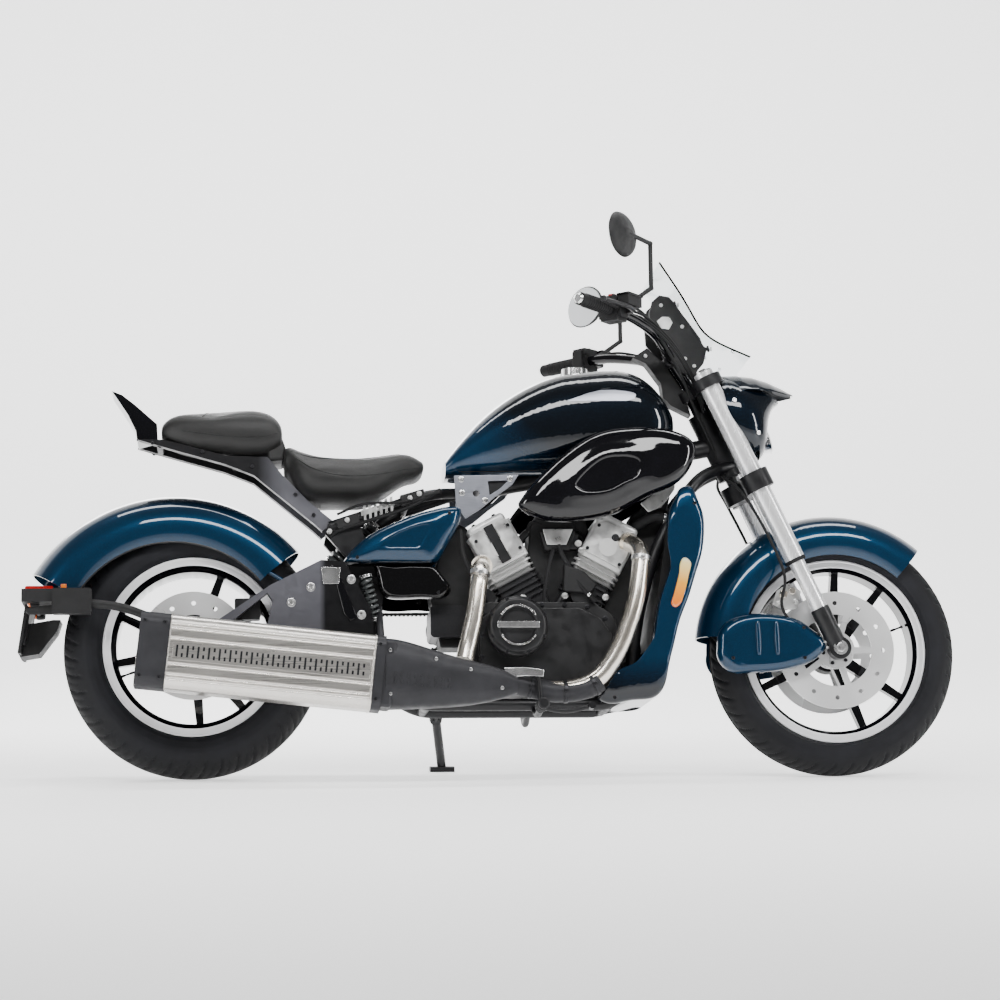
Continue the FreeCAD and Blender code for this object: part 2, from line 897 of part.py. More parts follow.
def make_front_wheel():
    place = Placement(FRONT_AXLE, Rotation())
    make_tyre("front_tyre", front_corners, place)
    make_rim("front_rim", s.front_flange_radius, s.front_bead_radius, s.front_rim_width, s.front_rim_depth,
             s.front_hub_radius, s.front_hub_length, s.front_spoke_phase, place)
    sides = [-s.front_disc_side - s.disc_thickness / 2, s.front_disc_side - s.disc_thickness / 2]
    make_disc("front_discs", s.front_disc_radius, s.front_disc_inner_radius, sides,
              s.axle_radius + s.clearance, place)


def make_axles():
    for label, spot, length, side in (
            ("rear_axle", REAR_AXLE, s.swingarm_side * 2 + s.swingarm_thickness * 2 + s.overrun * 2, 0),
            ("front_axle", FRONT_AXLE, s.front_axle_length, 0)):
        rod_item = document.addObject("Part::Cylinder", label + "_rod")
        bore = document.addObject("Part::Cylinder", label + "_bore")
        bind(rod_item, "Radius", s.axle_radius)
        bind(bore, "Radius", s.axle_bore_radius)
        for cylinder in (rod_item, bore):
            bind(cylinder, "Height", length)
            cylinder.Placement = Placement(Vector(0, float(length / 2), 0), SIDEWAYS)
        cut = document.addObject("Part::Cut", label)
        cut.Base = rod_item
        cut.Tool = bore
        placed(cut, label, Placement(spot, Rotation()))


# Steering

FOOT_SHARE = 0.86
CLAMP_REACH_SHARE = 1.5


def make_fork():
    uppers = []
    bottoms = []
    half = s.leg_spacing / 2
    for sign in SIDES.values():
        side = half * sign
        top = fork_spot(0, up_fork(s.fork_top_z), side)
        middle = fork_spot(0, up_fork(s.fork_upper_end_z), side)
        low = fork_spot(0, up_fork(s.fork_slider_end_z), side)
        upper = rod(middle, top, s.fork_upper_radius)
        slider = rod(low, middle, s.fork_slider_radius)
        uppers.append(upper.fuse(slider))
        foot = rod(fork_spot(0, 0, side), low, s.fork_bottom_radius * FOOT_SHARE)
        eye = Part.makeCylinder(float(s.fork_bottom_radius), float(s.axle_clamp_width),
                                Vector(float(s.wheelbase), float(side - s.axle_clamp_width / 2),
                                       float(s.front_radius)), Vector(0, 1, 0))
        bore = Part.makeCylinder(float(s.axle_radius), float(s.axle_clamp_width * 2),
                                 Vector(float(s.wheelbase), float(side - s.axle_clamp_width),
                                        float(s.front_radius)), Vector(0, 1, 0))
        bottoms.append(foot.fuse(eye).cut(bore))
    fixed_shape("fork_tubes", Part.makeCompound(uppers))
    fixed_shape("fork_bottoms", Part.makeCompound(bottoms))


def make_clamps():
    """Both fork clamps with the steering stem that turns in the head tube."""
    half = s.leg_spacing / 2
    pieces = []
    for level, height in ((s.lower_clamp_z, s.lower_clamp_height), (s.upper_clamp_z, s.upper_clamp_height)):
        base = up_fork(level)
        outline = []
        for sign in SIDES.values():
            outline.append(Part.makeCylinder(float(s.clamp_radius), float(height),
                                             fork_spot(0, base, half * sign), STEER_UP))
        centre = fork_spot(-s.fork_offset, base)
        outline.append(Part.makeCylinder(float(s.clamp_radius), float(height), centre, STEER_UP))
        bar = Part.makeBox(float(s.clamp_radius * CLAMP_REACH_SHARE), float(s.leg_spacing), float(height))
        bar.Placement = Placement(fork_spot(-s.fork_offset, base, -half), Rotation(Vector(0, 1, 0), -s.rake))
        pieces.append(outline[0].fuse(outline[1:] + [bar]))
    stem_low = fork_spot(-s.fork_offset, up_fork(s.lower_clamp_z))
    stem_high = fork_spot(-s.fork_offset, up_fork(s.upper_clamp_z) + float(s.upper_clamp_height))
    stem = rod(stem_low, stem_high, s.stem_radius)
    shape = pieces[0].fuse([pieces[1], stem])
    bores = []
    for sign in SIDES.values():
        bores.append(rod(fork_spot(0, up_fork(s.fork_slider_end_z), half * sign),
                         fork_spot(0, up_fork(s.fork_top_z) + float(s.overrun), half * sign),
                         s.fork_upper_radius))
    fixed_shape("fork_clamps", shape.cut(Part.makeCompound(bores)))


RISER_SIDE_SHARES = (2.2, 3.0)
# Length and radius of a switch box, and how far ahead its lever starts and ends.
CONTROL_SHARES = (2.6, 1.6, 1.4, 3.2)


def make_handlebar():
    runs = []
    for sign in (-1, 1):
        runs.append([
            (s.bar_rise_x, s.riser_radius * RISER_SIDE_SHARES[1] * sign, s.bar_rise_z),
            (s.bar_corner_x, s.bar_corner_y * sign, s.bar_corner_z),
            (s.bar_elbow_x, s.bar_elbow_y * sign, s.bar_elbow_z),
            (s.bar_end_x, s.bar_end_y * sign, s.bar_end_z),
        ])
    bar = tube(list(reversed(runs[0])) + runs[1], s.bar_radius)
    risers = []
    top_level = up_fork(s.upper_clamp_z) + float(s.upper_clamp_height)
    for sign in SIDES.values():
        side = s.riser_radius * RISER_SIDE_SHARES[0] * sign
        risers.append(rod(fork_spot(-s.fork_offset, top_level, side), (s.bar_rise_x, side, s.bar_rise_z),
                          s.riser_radius))
    fixed_shape("handlebar", clear_of(bar.fuse(risers), "fork_clamps"))
    grips = []
    controls = []
    for sign in SIDES.values():
        end = Vector(float(s.bar_end_x), float(s.bar_end_y * sign), float(s.bar_end_z))
        elbow = Vector(float(s.bar_elbow_x), float(s.bar_elbow_y * sign), float(s.bar_elbow_z))
        inward = (elbow - end).normalize()
        outer = end - inward * float(s.grip_radius)
        inner = end + inward * float(s.grip_length)
        sleeve = rod(outer, inner, s.grip_radius)
        sleeve = sleeve.cut(rod(end, inner, s.bar_radius))
        grips.append(sleeve)
        far = inner + inward * float(s.grip_radius * CONTROL_SHARES[0])
        box = rod(inner + inward * float(s.clearance), far, s.grip_radius * CONTROL_SHARES[1])
        box = box.cut(rod(inner, far + inward * float(s.grip_radius), s.bar_radius + s.fit_gap))
        ahead = Vector(1, 0, 0)
        lever_root = far + ahead * float(s.grip_radius * CONTROL_SHARES[2]) - inward * float(s.grip_radius)
        lever_tip = end + ahead * float(s.grip_radius * CONTROL_SHARES[3])
        lever = rod(lever_root, lever_tip, s.mirror_stem_radius)
        controls.append(box.fuse(lever))
    fixed_shape("grips", Part.makeCompound(grips))
    return controls


MIRROR_SHARES = [
    # place, top, bottom, half width
    (0.00, 1.00, 0.00, 1.00),
    (0.35, 0.96, 0.04, 0.95),
    (0.70, 0.82, 0.18, 0.74),
    (1.00, 0.60, 0.40, 0.34),
]


MIRROR_FULLNESS_SHARE = 2.1
MIRROR_FOOT_SHARE = 0.8
# Ahead and up from the bar to the perch, and up again to the knee.
PERCH_SHARES = (3.0, 1.5, 2.0)


def make_mirrors(controls):
    shells = []
    glasses = []
    for number, sign in enumerate(SIDES.values()):
        turn = float(s.mirror_turn * sign)
        centre = Vector(float(s.mirror_x), float(s.mirror_side * sign), float(s.mirror_z))
        shell = hull(MIRROR_SHARES, 0, s.mirror_depth, -s.mirror_height / 2, s.mirror_height, s.mirror_width,
                     MIRROR_FULLNESS_SHARE)
        glass = Part.Face(Part.Wire(Part.Ellipse(Vector(),
                                                 float(s.mirror_width / 2 - s.mirror_glass_thickness),
                                                 float(s.mirror_height / 2
                                                       - s.mirror_glass_thickness)).toShape()))
        glass = glass.extrude(Vector(0, 0, float(s.mirror_glass_thickness)))
        glass.Placement = Placement(Vector(float(-s.mirror_glass_thickness), 0, 0),
                                    Rotation(Vector(0, 1, 0), Vector(0, 0, 1), Vector(1, 0, 0), "XYZ"))
        place = Placement(centre, Rotation(Vector(0, 0, 1), turn))
        shell.Placement = place
        glass.Placement = place.multiply(glass.Placement)
        front = centre + place.Rotation.multVec(Vector(float(s.mirror_depth * MIRROR_FOOT_SHARE), 0, 0))
        end = Vector(float(s.bar_end_x), float(s.bar_end_y * sign), float(s.bar_end_z))
        elbow = Vector(float(s.bar_elbow_x), float(s.bar_elbow_y * sign), float(s.bar_elbow_z))
        inward = (elbow - end).normalize()
        foot = end + inward * float(s.grip_length + s.grip_radius * CONTROL_SHARES[1])
        perch = foot + Vector(float(s.grip_radius * PERCH_SHARES[0]), 0,
                              float(s.grip_radius * PERCH_SHARES[1]))
        high = Vector(float(s.mirror_stem_x), foot.y, float(s.mirror_z))
        knee = Vector(high.x, high.y, perch.z + float(s.grip_radius * PERCH_SHARES[2]))
        turns = [foot, perch, knee, high, front]
        stem = rod(foot, perch, s.mirror_stem_radius)
        for start, end_spot in zip(turns[1:], turns[2:]):
            ball = Part.makeSphere(float(s.mirror_stem_radius + s.clearance), start)
            stem = stem.fuse([ball, rod(start, end_spot, s.mirror_stem_radius)])
        stem = stem.cut(rod(end, foot + inward * float(s.grip_length), s.bar_radius + s.fit_gap))
        shells.append(controls[number].fuse([stem, shell]))
        glasses.append(glass)
    fixed_shape("controls_and_mirrors", clear_of(Part.makeCompound(shells), "handlebar", "grips"))
    fixed_shape("mirror_glasses", Part.makeCompound(glasses))


COWL_SHARES = [
    # place, top, bottom, half width
    (0.00, 1.00, 0.42, 0.94),
    (0.16, 1.00, 0.20, 1.00),
    (0.34, 0.98, 0.02, 1.00),
    (0.50, 0.93, 0.04, 0.94),
    (0.66, 0.82, 0.20, 0.78),
    (0.82, 0.71, 0.38, 0.58),
    (1.00, 0.54, 0.46, 0.22),
]


COWL_FULLNESS_SHARE = 2.4


def make_head_lamp():
    """The lamp cowl wraps the fork legs, with its lens let into the face."""
    cowl = hull(COWL_SHARES, -s.cowl_rear, s.cowl_rear + s.cowl_reach, s.cowl_low, s.cowl_height,
                s.cowl_width, COWL_FULLNESS_SHARE)
    far = s.cowl_reach * 2
    seat = rod((s.cowl_rear, 0, s.lamp_height), (far, 0, s.lamp_height), s.lamp_radius)
    lens = cowl.common(seat)
    cuts = [rod((s.cowl_rear, 0, s.lamp_height), (far, 0, s.lamp_height), s.lamp_radius + s.running_fit)]
    for sign in SIDES.values():
        side = s.leg_spacing / 2 * sign
        cuts.append(rod((0, side, s.cowl_low / 2), (0, side, s.cowl_low * 2),
                        s.fork_upper_radius + s.clearance))
    # The back is hollow round the steering head.
    cuts.append(block((-s.cowl_rear * 2, -s.leg_spacing / 2 + s.fork_upper_radius, s.cowl_low / 2),
                      (s.clamp_radius + s.cowl_wall_gap, s.leg_spacing / 2 - s.fork_upper_radius,
                       s.cowl_low * 2)))
    shell = cowl.cut(cuts)
    frame = Placement(FRONT_AXLE, Rotation(Vector(0, 1, 0), -s.rake))
    for label, shape in (("lamp_cowl", shell), ("lamp_lens", lens)):
        shape.Placement = frame
        fixed_shape(label, clear_of(shape, "fork_clamps", "fork_tubes"))


SCREEN_SHARES = [
    # back along the screen, up
    (0.00, 0.00), (0.28, 0.113), (0.51, 0.254), (0.64, 0.445), (0.78, 0.68), (0.89, 0.84), (1.00, 1.00),
]
STAY_SHARES = (0.18, 0.075)
STAY_FOOT_SHARES = (0.3, 0.6)


def make_screen():
    outer = share_points(SCREEN_SHARES, s.screen_base_x, -s.screen_run, s.screen_base_z, s.screen_rise)
    spots = side_outline(outer, -s.screen_width / 2)
    curve = Part.BSplineCurve()
    curve.interpolate(spots)
    shifted = [spot - Vector(float(s.screen_thickness), 0, float(s.screen_thickness)) for spot in spots]
    back = Part.BSplineCurve()
    back.interpolate(shifted)
    ends = [Part.LineSegment(spots[0], shifted[0]).toShape(), Part.LineSegment(spots[-1],
                                                                               shifted[-1]).toShape()]
    wire = Part.Wire(Part.__sortEdges__([curve.toShape(), back.toShape()] + ends))
    sheet_solid = Part.Face(wire).extrude(Vector(0, float(s.screen_width), 0))
    fixed_shape("windscreen", sheet_solid)
    centre = Vector(float(s.dial_x), 0, float(s.dial_z))
    dial = Part.makeCylinder(float(s.dial_radius), float(s.dial_depth), centre, STEER_UP)
    stay = rod(fork_spot(s.clamp_radius * STAY_FOOT_SHARES[0],
                         up_fork(s.upper_clamp_z) + float(s.upper_clamp_height)),
               centre + STEER_UP * float(s.overrun), s.mirror_stem_radius)
    stays = []
    for sign in SIDES.values():
        side = s.leg_spacing / 2 * sign
        level = up_fork(s.upper_clamp_z) + float(s.upper_clamp_height) / 2
        stays.append(rod(fork_spot(s.clamp_radius * STAY_FOOT_SHARES[1], level, side),
                         (s.screen_base_x - s.screen_run * STAY_SHARES[0], side,
                          s.screen_base_z + s.screen_rise * STAY_SHARES[1]),
                         s.mirror_stem_radius))
    shape = dial.fuse([stay] + stays)
    fixed_shape("instrument", clear_of(shape, "fork_clamps", "fork_tubes", "handlebar", "windscreen"))


# Up the skirt and out to the side, where the crown turns into the side.
FENDER_SHOULDER_SHARES = (0.74, 0.86)


def fender(radius, width, skirt, start, end, centre):
    """An arched mudguard turned about its own centre, open underneath."""
    half = float(width) / 2
    outer = float(radius)
    deep = float(skirt)
    wall = float(s.fender_wall)

    def arch(inset):
        side = half - inset
        top = outer - inset
        shoulder = Vector(deep + (top - deep) * FENDER_SHOULDER_SHARES[0], side * FENDER_SHOULDER_SHARES[1],
                          0)
        return side, top, shoulder

    side, top, shoulder = arch(0)
    inner_side, inner_top, inner_shoulder = arch(wall)
    outer_curve = Part.BSplineCurve()
    outer_curve.interpolate([Vector(deep, -side, 0), Vector(shoulder.x, -shoulder.y, 0), Vector(top, 0, 0),
                             Vector(shoulder.x, shoulder.y, 0), Vector(deep, side, 0)])
    inner_curve = Part.BSplineCurve()
    inner_curve.interpolate([Vector(deep, -inner_side, 0), Vector(inner_shoulder.x, -inner_shoulder.y, 0),
                             Vector(inner_top, 0, 0), Vector(inner_shoulder.x, inner_shoulder.y, 0),
                             Vector(deep, inner_side, 0)])
    edges = [outer_curve.toShape(), inner_curve.toShape(),
             Part.LineSegment(Vector(deep, -side, 0), Vector(deep, -inner_side, 0)).toShape(),
             Part.LineSegment(Vector(deep, side, 0), Vector(deep, inner_side, 0)).toShape()]
    face = Part.Face(Part.Wire(Part.__sortEdges__(edges)))
    face.rotate(Vector(), Vector(0, 1, 0), -float(start))
    shape = face.revolve(Vector(), Vector(0, 1, 0), -float(end - start))
    shape.translate(centre)
    return shape


def make_front_fender():
    shape = fender(s.front_fender_radius, s.front_fender_width, s.front_fender_skirt, s.front_fender_start,
                   s.front_fender_end, FRONT_AXLE)
    fixed_shape("front_fender", clear_of(shape, "fork_tubes", "fork_bottoms"))


CALIPER_SHARES = [
    (0.00, 0.14), (0.14, 0.00), (0.84, 0.00), (1.00, 0.20), (1.00, 0.84), (0.84, 1.00), (0.12, 1.00),
    (0.00, 0.82),
]
CALIPER_DROP_SHARE = 0.3
CALIPER_ARM_SHARE = 0.25
SCOOP_SHARES = [
    # along, up
    (0.00, 0.40), (0.03, 0.16), (0.12, 0.02), (0.28, 0.00), (0.48, 0.02), (0.66, 0.07), (0.82, 0.16),
    (0.95, 0.32),
    (1.00, 0.46), (0.90, 0.68), (0.76, 0.88), (0.60, 0.97), (0.42, 1.00), (0.22, 0.96), (0.08, 0.84),
    (0.01, 0.64),
]


def make_calipers():
    """Front brake calipers on the legs, each behind its painted duct."""
    bodies = []
    scoops = []
    for sign in SIDES.values():
        near = (s.front_disc_side - s.caliper_width / 2) * sign
        far = (s.front_disc_side + s.caliper_width / 2) * sign
        leg = s.leg_spacing / 2 * sign
        shape = slab(share_points(CALIPER_SHARES, s.wheelbase - s.caliper_behind, s.caliper_length,
                                  s.front_radius - s.caliper_height * CALIPER_DROP_SHARE, s.caliper_height),
                     near, far)
        slot = rod((s.wheelbase, s.front_disc_side * sign - s.disc_thickness / 2 - s.slot_gap, s.front_radius),
                   (s.wheelbase, s.front_disc_side * sign + s.disc_thickness / 2 + s.slot_gap, s.front_radius),
                   s.front_disc_radius + s.overrun)
        arm = rod((s.wheelbase - s.caliper_behind + s.caliper_length - s.overrun * 2,
                   far - s.overrun * sign, s.front_radius + s.caliper_height * CALIPER_ARM_SHARE),
                  fork_spot(0, up_fork(s.fork_slider_end_z) / 2, leg - s.overrun * sign),
                  s.mirror_stem_radius)
        legs = rod(fork_spot(0, 0, leg), fork_spot(0, up_fork(s.fork_slider_end_z), leg),
                   s.fork_bottom_radius)
        bodies.append(shape.fuse(arm).cut(slot).cut(legs))
        points = share_points(SCOOP_SHARES, s.wheelbase - s.scoop_behind, s.scoop_length,
                              s.front_radius - s.scoop_drop, s.scoop_height)
        scoops.append(dome(points, far + s.fit_gap * sign, far + s.scoop_width * sign, s.scoop_flat_share)
                      .cut(rod(fork_spot(0, 0, leg), fork_spot(0, up_fork(s.fork_top_z), leg),
                               s.fork_bottom_radius + s.fit_gap)))
    fixed_shape("front_calipers", clear_of(Part.makeCompound(bodies), "fork_bottoms", "fork_tubes"))
    fixed_shape("caliper_scoops", clear_of(Part.makeCompound(scoops), "front_calipers", "fork_bottoms",
                                           "fork_tubes", "front_fender"))


# Frame

DOWN_TUBE_SHARES = [
    (2.0328, 0.632, 0.8041), (1.8849, 1.000, 0.6091), (1.8289, 1.000, 0.4061), (1.8086, 1.000, 0.2284),
]
REAR_TUBE_SHARES = [(1.1283, 0.880, 0.3046), (1.1141, 0.860, 0.4061)]
PIVOT_PLATE_SHARES = [
    (1.0652, 0.3797), (1.1405, 0.3533), (1.1568, 0.4751), (1.0957, 0.6660), (1.0102, 0.6660),
    (1.0041, 0.6376), (1.0652, 0.5685),
]


MIDDLE_SHARE = 0.5


def make_frame():
    side = s.rail_side
    head_low = fork_spot(-s.fork_offset, up_fork(s.head_bottom_z))
    head_high = fork_spot(-s.fork_offset, up_fork(s.head_top_z))
    head = rod(head_low, head_high, s.head_tube_radius)
    middle = head_low + (head_high - head_low) * MIDDLE_SHARE
    pieces = [rod((middle.x, 0, middle.z), (s.backbone_rear_x, 0, s.backbone_rear_z), s.backbone_radius)]
    for sign in SIDES.values():
        away = side * sign
        start = Vector(head_low.x, float(s.frame_tube_radius * sign), head_low.z + float(s.head_tube_radius))
        low = [Vector(float(s.cradle_front_x), float(away), float(s.cradle_z)),
               Vector(float(s.cradle_rear_x), float(away), float(s.cradle_z))]
        pieces.append(tube([start] + route(DOWN_TUBE_SHARES, sign) + low + route(REAR_TUBE_SHARES, sign),
                           s.frame_tube_radius))
        pieces.append(tube([(s.backbone_rear_x, 0, s.backbone_rear_z),
                            (s.backbone_rear_x - s.seat_rail_side, s.seat_rail_side * sign,
                             s.backbone_rear_z - s.frame_tube_radius),
                            (s.seat_rail_rear_x, s.seat_rail_side * sign, s.seat_rail_rear_z), ],
                           s.seat_rail_radius))
        near = s.pivot_plate_side * sign
        pieces.append(slab(outline(PIVOT_PLATE_SHARES), near, near + s.pivot_plate_thickness * sign))
    for x, z, half in ((s.seat_rail_rear_x + s.pivot_radius, s.seat_rail_rear_z - s.stem_radius / 2,
                        s.seat_rail_side), (s.cradle_rear_x + s.clamp_radius, s.cradle_z, s.rail_side),
                       (s.cradle_front_x, s.cradle_z, s.rail_side), (s.shock_top_x, s.shock_top_z,
                                                                     s.seat_rail_side),
                       (s.backbone_rear_x + s.clamp_radius, s.backbone_rear_z, s.frame_plate_side)):
        pieces.append(rod((x, -half, z), (x, half, z), s.cross_tube_radius))
    shape = head.fuse(pieces)
    shape = shape.cut(rod(head_low - STEER_UP * float(s.overrun), head_high + STEER_UP * float(s.overrun),
                          s.stem_radius + s.running_fit))
    shape = shape.cut(rod((s.pivot_x, -s.swingarm_side, s.pivot_z), (s.pivot_x, s.swingarm_side, s.pivot_z),
                          s.pivot_radius))
    fixed_shape("main_frame", shape)


FRAME_PLATE_SHARES = [
    (1.3462, 0.7939), (1.5183, 0.7970), (1.5010, 0.7695), (1.4552, 0.7371), (1.4134, 0.7025),
    (1.3747, 0.6782), (1.3503, 0.7107),
]
PLATE_WINDOW_SHARES = [(1.4358, 0.7797), (1.4908, 0.7817), (1.4684, 0.7594), (1.4399, 0.7411)]
PLATE_HOLE_SHARES = [(1.4043, 0.7462)]


def make_frame_plates():
    """Alloy plates that join backbone and engine, each with a hole and a three-cornered window."""
    plates = []
    for sign in SIDES.values():
        near = s.frame_plate_side * sign
        far = near + s.frame_plate_thickness * sign
        plate = slab(outline(FRAME_PLATE_SHARES), near, far)
        window = slab(outline(PLATE_WINDOW_SHARES), near - s.overrun * sign, far + s.overrun * sign)
        x, z = outline(PLATE_HOLE_SHARES)[0]
        hole = rod((x, near - s.overrun * sign, z), (x, far + s.overrun * sign, z), s.shock_rod_radius)
        plates.append(plate.cut([window, hole]))
    fixed_shape("frame_plates", clear_of(Part.makeCompound(plates), "main_frame"))


SWINGARM_SHARES = [
    (-0.10, -0.10), (0.45, 0.08), (0.96, -0.22), (1.08, 0.00), (1.06, 0.40), (0.90, 0.98), (0.76, 1.00),
    (0.46, 0.70), (0.06, 0.16), (-0.10, 0.10),
]
WINDOW_SHARES = [
    (0.14, 0.12), (0.44, 0.22), (0.47, 0.52), (0.44, 0.60),
]


SWINGARM_RISE_SHARE = 0.64
BRACE_SHARES = (0.80, 0.92, 0.80)


def make_swingarm():
    run = s.pivot_x
    base = s.rear_radius
    rise = s.rear_radius * SWINGARM_RISE_SHARE
    pieces = []
    for sign in SIDES.values():
        near = s.swingarm_side * sign
        far = (s.swingarm_side + s.swingarm_thickness) * sign
        arm = slab(share_points(SWINGARM_SHARES, 0, run, base, rise), near, far)
        window = slab(share_points(WINDOW_SHARES, 0, run, base, rise), near - s.overrun * sign,
                      far + s.overrun * sign)
        pieces.append(arm.cut(window))
    pivot = rod((s.pivot_x, -s.swingarm_side, s.pivot_z), (s.pivot_x, s.swingarm_side, s.pivot_z),
                s.pivot_radius)
    brace_x = s.pivot_x * BRACE_SHARES[0]
    brace_z = s.rear_radius + rise * BRACE_SHARES[1]
    brace = rod((brace_x, -s.swingarm_side, brace_z), (brace_x, s.swingarm_side, brace_z),
                s.pivot_radius * BRACE_SHARES[2])
    shape = pieces[0].fuse([pieces[1], pivot, brace])
    bore = rod((0, -s.swingarm_side * 2, s.rear_radius), (0, s.swingarm_side * 2, s.rear_radius),
               s.axle_radius)
    fixed_shape("swingarm", shape.cut(bore))


# From and to along the shock, and the radius there.
SHOCK_SHARES = ((0.12, 0.66, 1.0), (0.72, 0.94, 0.8))


def make_shocks():
    foot = Vector(float(s.shock_foot_x), 0, float(s.shock_foot_z))
    top = Vector(float(s.shock_top_x), 0, float(s.shock_top_z))
    along = (top - foot).normalize()
    length = (top - foot).Length
    pieces = [rod(foot, top, s.shock_rod_radius)]
    for start, end, thick in SHOCK_SHARES:
        pieces.append(rod(foot + along * (length * start), foot + along * (length * end),
                          s.shock_radius * thick))
    fixed_shape("rear_shock", clear_of(pieces[0].fuse(pieces[1:]), "swingarm", "main_frame"))


RAIL_SHARES = [
    (0.00, 1.00), (0.144, 0.995), (0.45, 0.826), (0.665, 0.81), (0.74, 0.61), (0.875, 0.318), (1.00, 0.10),
    (0.94, 0.00), (0.90, 0.078), (0.594, 0.61), (0.45, 0.73), (0.155, 0.905),
]


RAIL_CROSS_SHARES = ((0.12, 0.955), (0.50, 0.775), (0.70, 0.60))


def make_tail_rails():
    points = share_points(RAIL_SHARES, s.rail_rear_x, s.rail_front_x - s.rail_rear_x, s.rail_base_z,
                          s.rail_height)
    pieces = []
    for sign in SIDES.values():
        far = s.rail_spacing / 2 * sign
        pieces.append(slab(points, far - s.rail_thickness * sign, far))
    cross = []
    for along, up in RAIL_CROSS_SHARES:
        x = s.rail_rear_x + (s.rail_front_x - s.rail_rear_x) * along
        z = s.rail_base_z + s.rail_height * up
        cross.append(rod((x, -s.rail_spacing / 2 + s.rail_thickness / 2, z),
                         (x, s.rail_spacing / 2 - s.rail_thickness / 2, z), s.shock_rod_radius))
    shape = pieces[0].fuse([pieces[1]] + cross)
    fixed_shape("tail_rails", clear_of(shape, "main_frame"))


# The stay's top as shares of the skirt and half the width, its foot of the swingarm and wheel.
FENDER_STAY_SHARES = (1.103, 0.97, 0.62, 1.42)


def make_rear_fender():
    centre = Vector(float(s.rear_fender_centre_x), 0, float(s.rear_fender_centre_z))
    shape = fender(s.rear_fender_radius, s.rear_fender_width, s.rear_fender_skirt, s.rear_fender_start,
                   s.rear_fender_end, centre)
    stays = []
    for sign in SIDES.values():
        out, across, behind, up = FENDER_STAY_SHARES
        angle = math.radians(float(s.rear_fender_start + s.stay_turn))
        reach = float(s.rear_fender_skirt) * out
        start = centre + Vector(reach * math.cos(angle), float(s.rear_fender_width) / 2 * sign * across,
                                reach * math.sin(angle))
        end = (s.pivot_x * behind, (s.swingarm_side + s.overrun) * sign, s.rear_radius * up)
        stays.append(rod(start, end, s.mirror_stem_radius))
    fixed_shape("rear_fender", clear_of(shape.fuse(stays), "swingarm"))


# Tank, saddle and tail

TANK_SHARES = [
    # place, top, bottom, half width
    (0.00, 0.16, 0.00, 0.50),
    (0.05, 0.30, 0.00, 0.60),
    (0.17, 0.565, 0.00, 0.74),
    (0.34, 0.815, 0.02, 0.88),
    (0.52, 0.96, 0.03, 0.97),
    (0.70, 1.00, 0.05, 1.00),
    (0.86, 0.945, 0.12, 0.94),
    (0.945, 0.79, 0.22, 0.80),
    (1.00, 0.60, 0.34, 0.56),
]
SADDLE_SHARES = [
    (0.00, 0.93, 0.50, 0.62),
    (0.09, 0.89, 0.22, 0.84),
    (0.20, 0.78, 0.02, 0.97),
    (0.36, 0.73, 0.02, 1.00),
    (0.54, 0.72, 0.02, 0.96),
    (0.73, 0.79, 0.20, 0.83),
    (0.89, 0.83, 0.42, 0.66),
    (1.00, 0.71, 0.56, 0.46),
]
PAD_SHARES = [
    (0.00, 0.72, 0.44, 0.60),
    (0.10, 0.90, 0.32, 0.82),
    (0.30, 0.95, 0.20, 0.94),
    (0.55, 0.985, 0.13, 1.00),
    (0.84, 0.99, 0.11, 0.98),
    (0.95, 0.86, 0.20, 0.92),
    (1.00, 0.66, 0.30, 0.80),
]
FIN_SHARES = [
    (0.00, 1.00), (0.22, 0.92), (0.50, 0.72), (0.97, 0.34), (0.99, 0.00), (0.55, 0.00), (0.52, 0.20),
    (0.35, 0.52),
]


TANK_FULLNESS_SHARE = 2.5
TANK_PAD_SHARES = (0.20, 0.72)
TANK_PAD_RISE_SHARE = 1.5
CAP_SEAT_SHARE = 0.9


def make_tank():
    shape = hull(TANK_SHARES, s.tank_rear_x, s.tank_front_x - s.tank_rear_x, s.tank_base_z, s.tank_height,
                 s.tank_width, TANK_FULLNESS_SHARE)
    head_middle = fork_spot(-s.fork_offset, up_fork((s.head_top_z + s.head_bottom_z) / 2))
    width = s.tunnel_width
    gap = s.backbone_radius + s.tunnel_gap
    roof = [(s.tank_rear_x - s.overrun, s.backbone_rear_z + gap),
            (head_middle.x, head_middle.z + float(gap)),
            (head_middle.x, float(s.cradle_z)), (s.tank_rear_x - s.overrun, s.cradle_z)]
    shape = shape.cut(slab(roof, -width / 2, width / 2))
    pads = []
    for along in TANK_PAD_SHARES:
        x = s.tank_rear_x + (s.tank_front_x - s.tank_rear_x) * along
        z = s.backbone_rear_z + (x - s.backbone_rear_x) * (head_middle.z - float(s.backbone_rear_z)) / (
            head_middle.x - float(s.backbone_rear_x))
        pads.append(block((x, -s.overrun * 2, z), (x + s.cap_radius, s.overrun * 2,
                                                   z + gap * TANK_PAD_RISE_SHARE)))
    shape = clear_of(shape.fuse(pads), "main_frame")
    seat = Vector(float(s.cap_x), 0, float(s.tank_base_z + s.tank_height * CAP_SEAT_SHARE))
    cap = Part.makeCylinder(float(s.cap_radius), float(s.tank_height * (1 - CAP_SEAT_SHARE) + s.cap_height),
                            seat)
    cap_well = Part.makeCylinder(float(s.cap_radius), float(s.tank_height), seat)
    shape = shape.cut(cap_well)
    fixed_shape("fuel_tank", shape)
    fixed_shape("fuel_cap", cap)


SADDLE_FULLNESS_SHARE = 2.6
PAD_FULLNESS_SHARE = 2.8


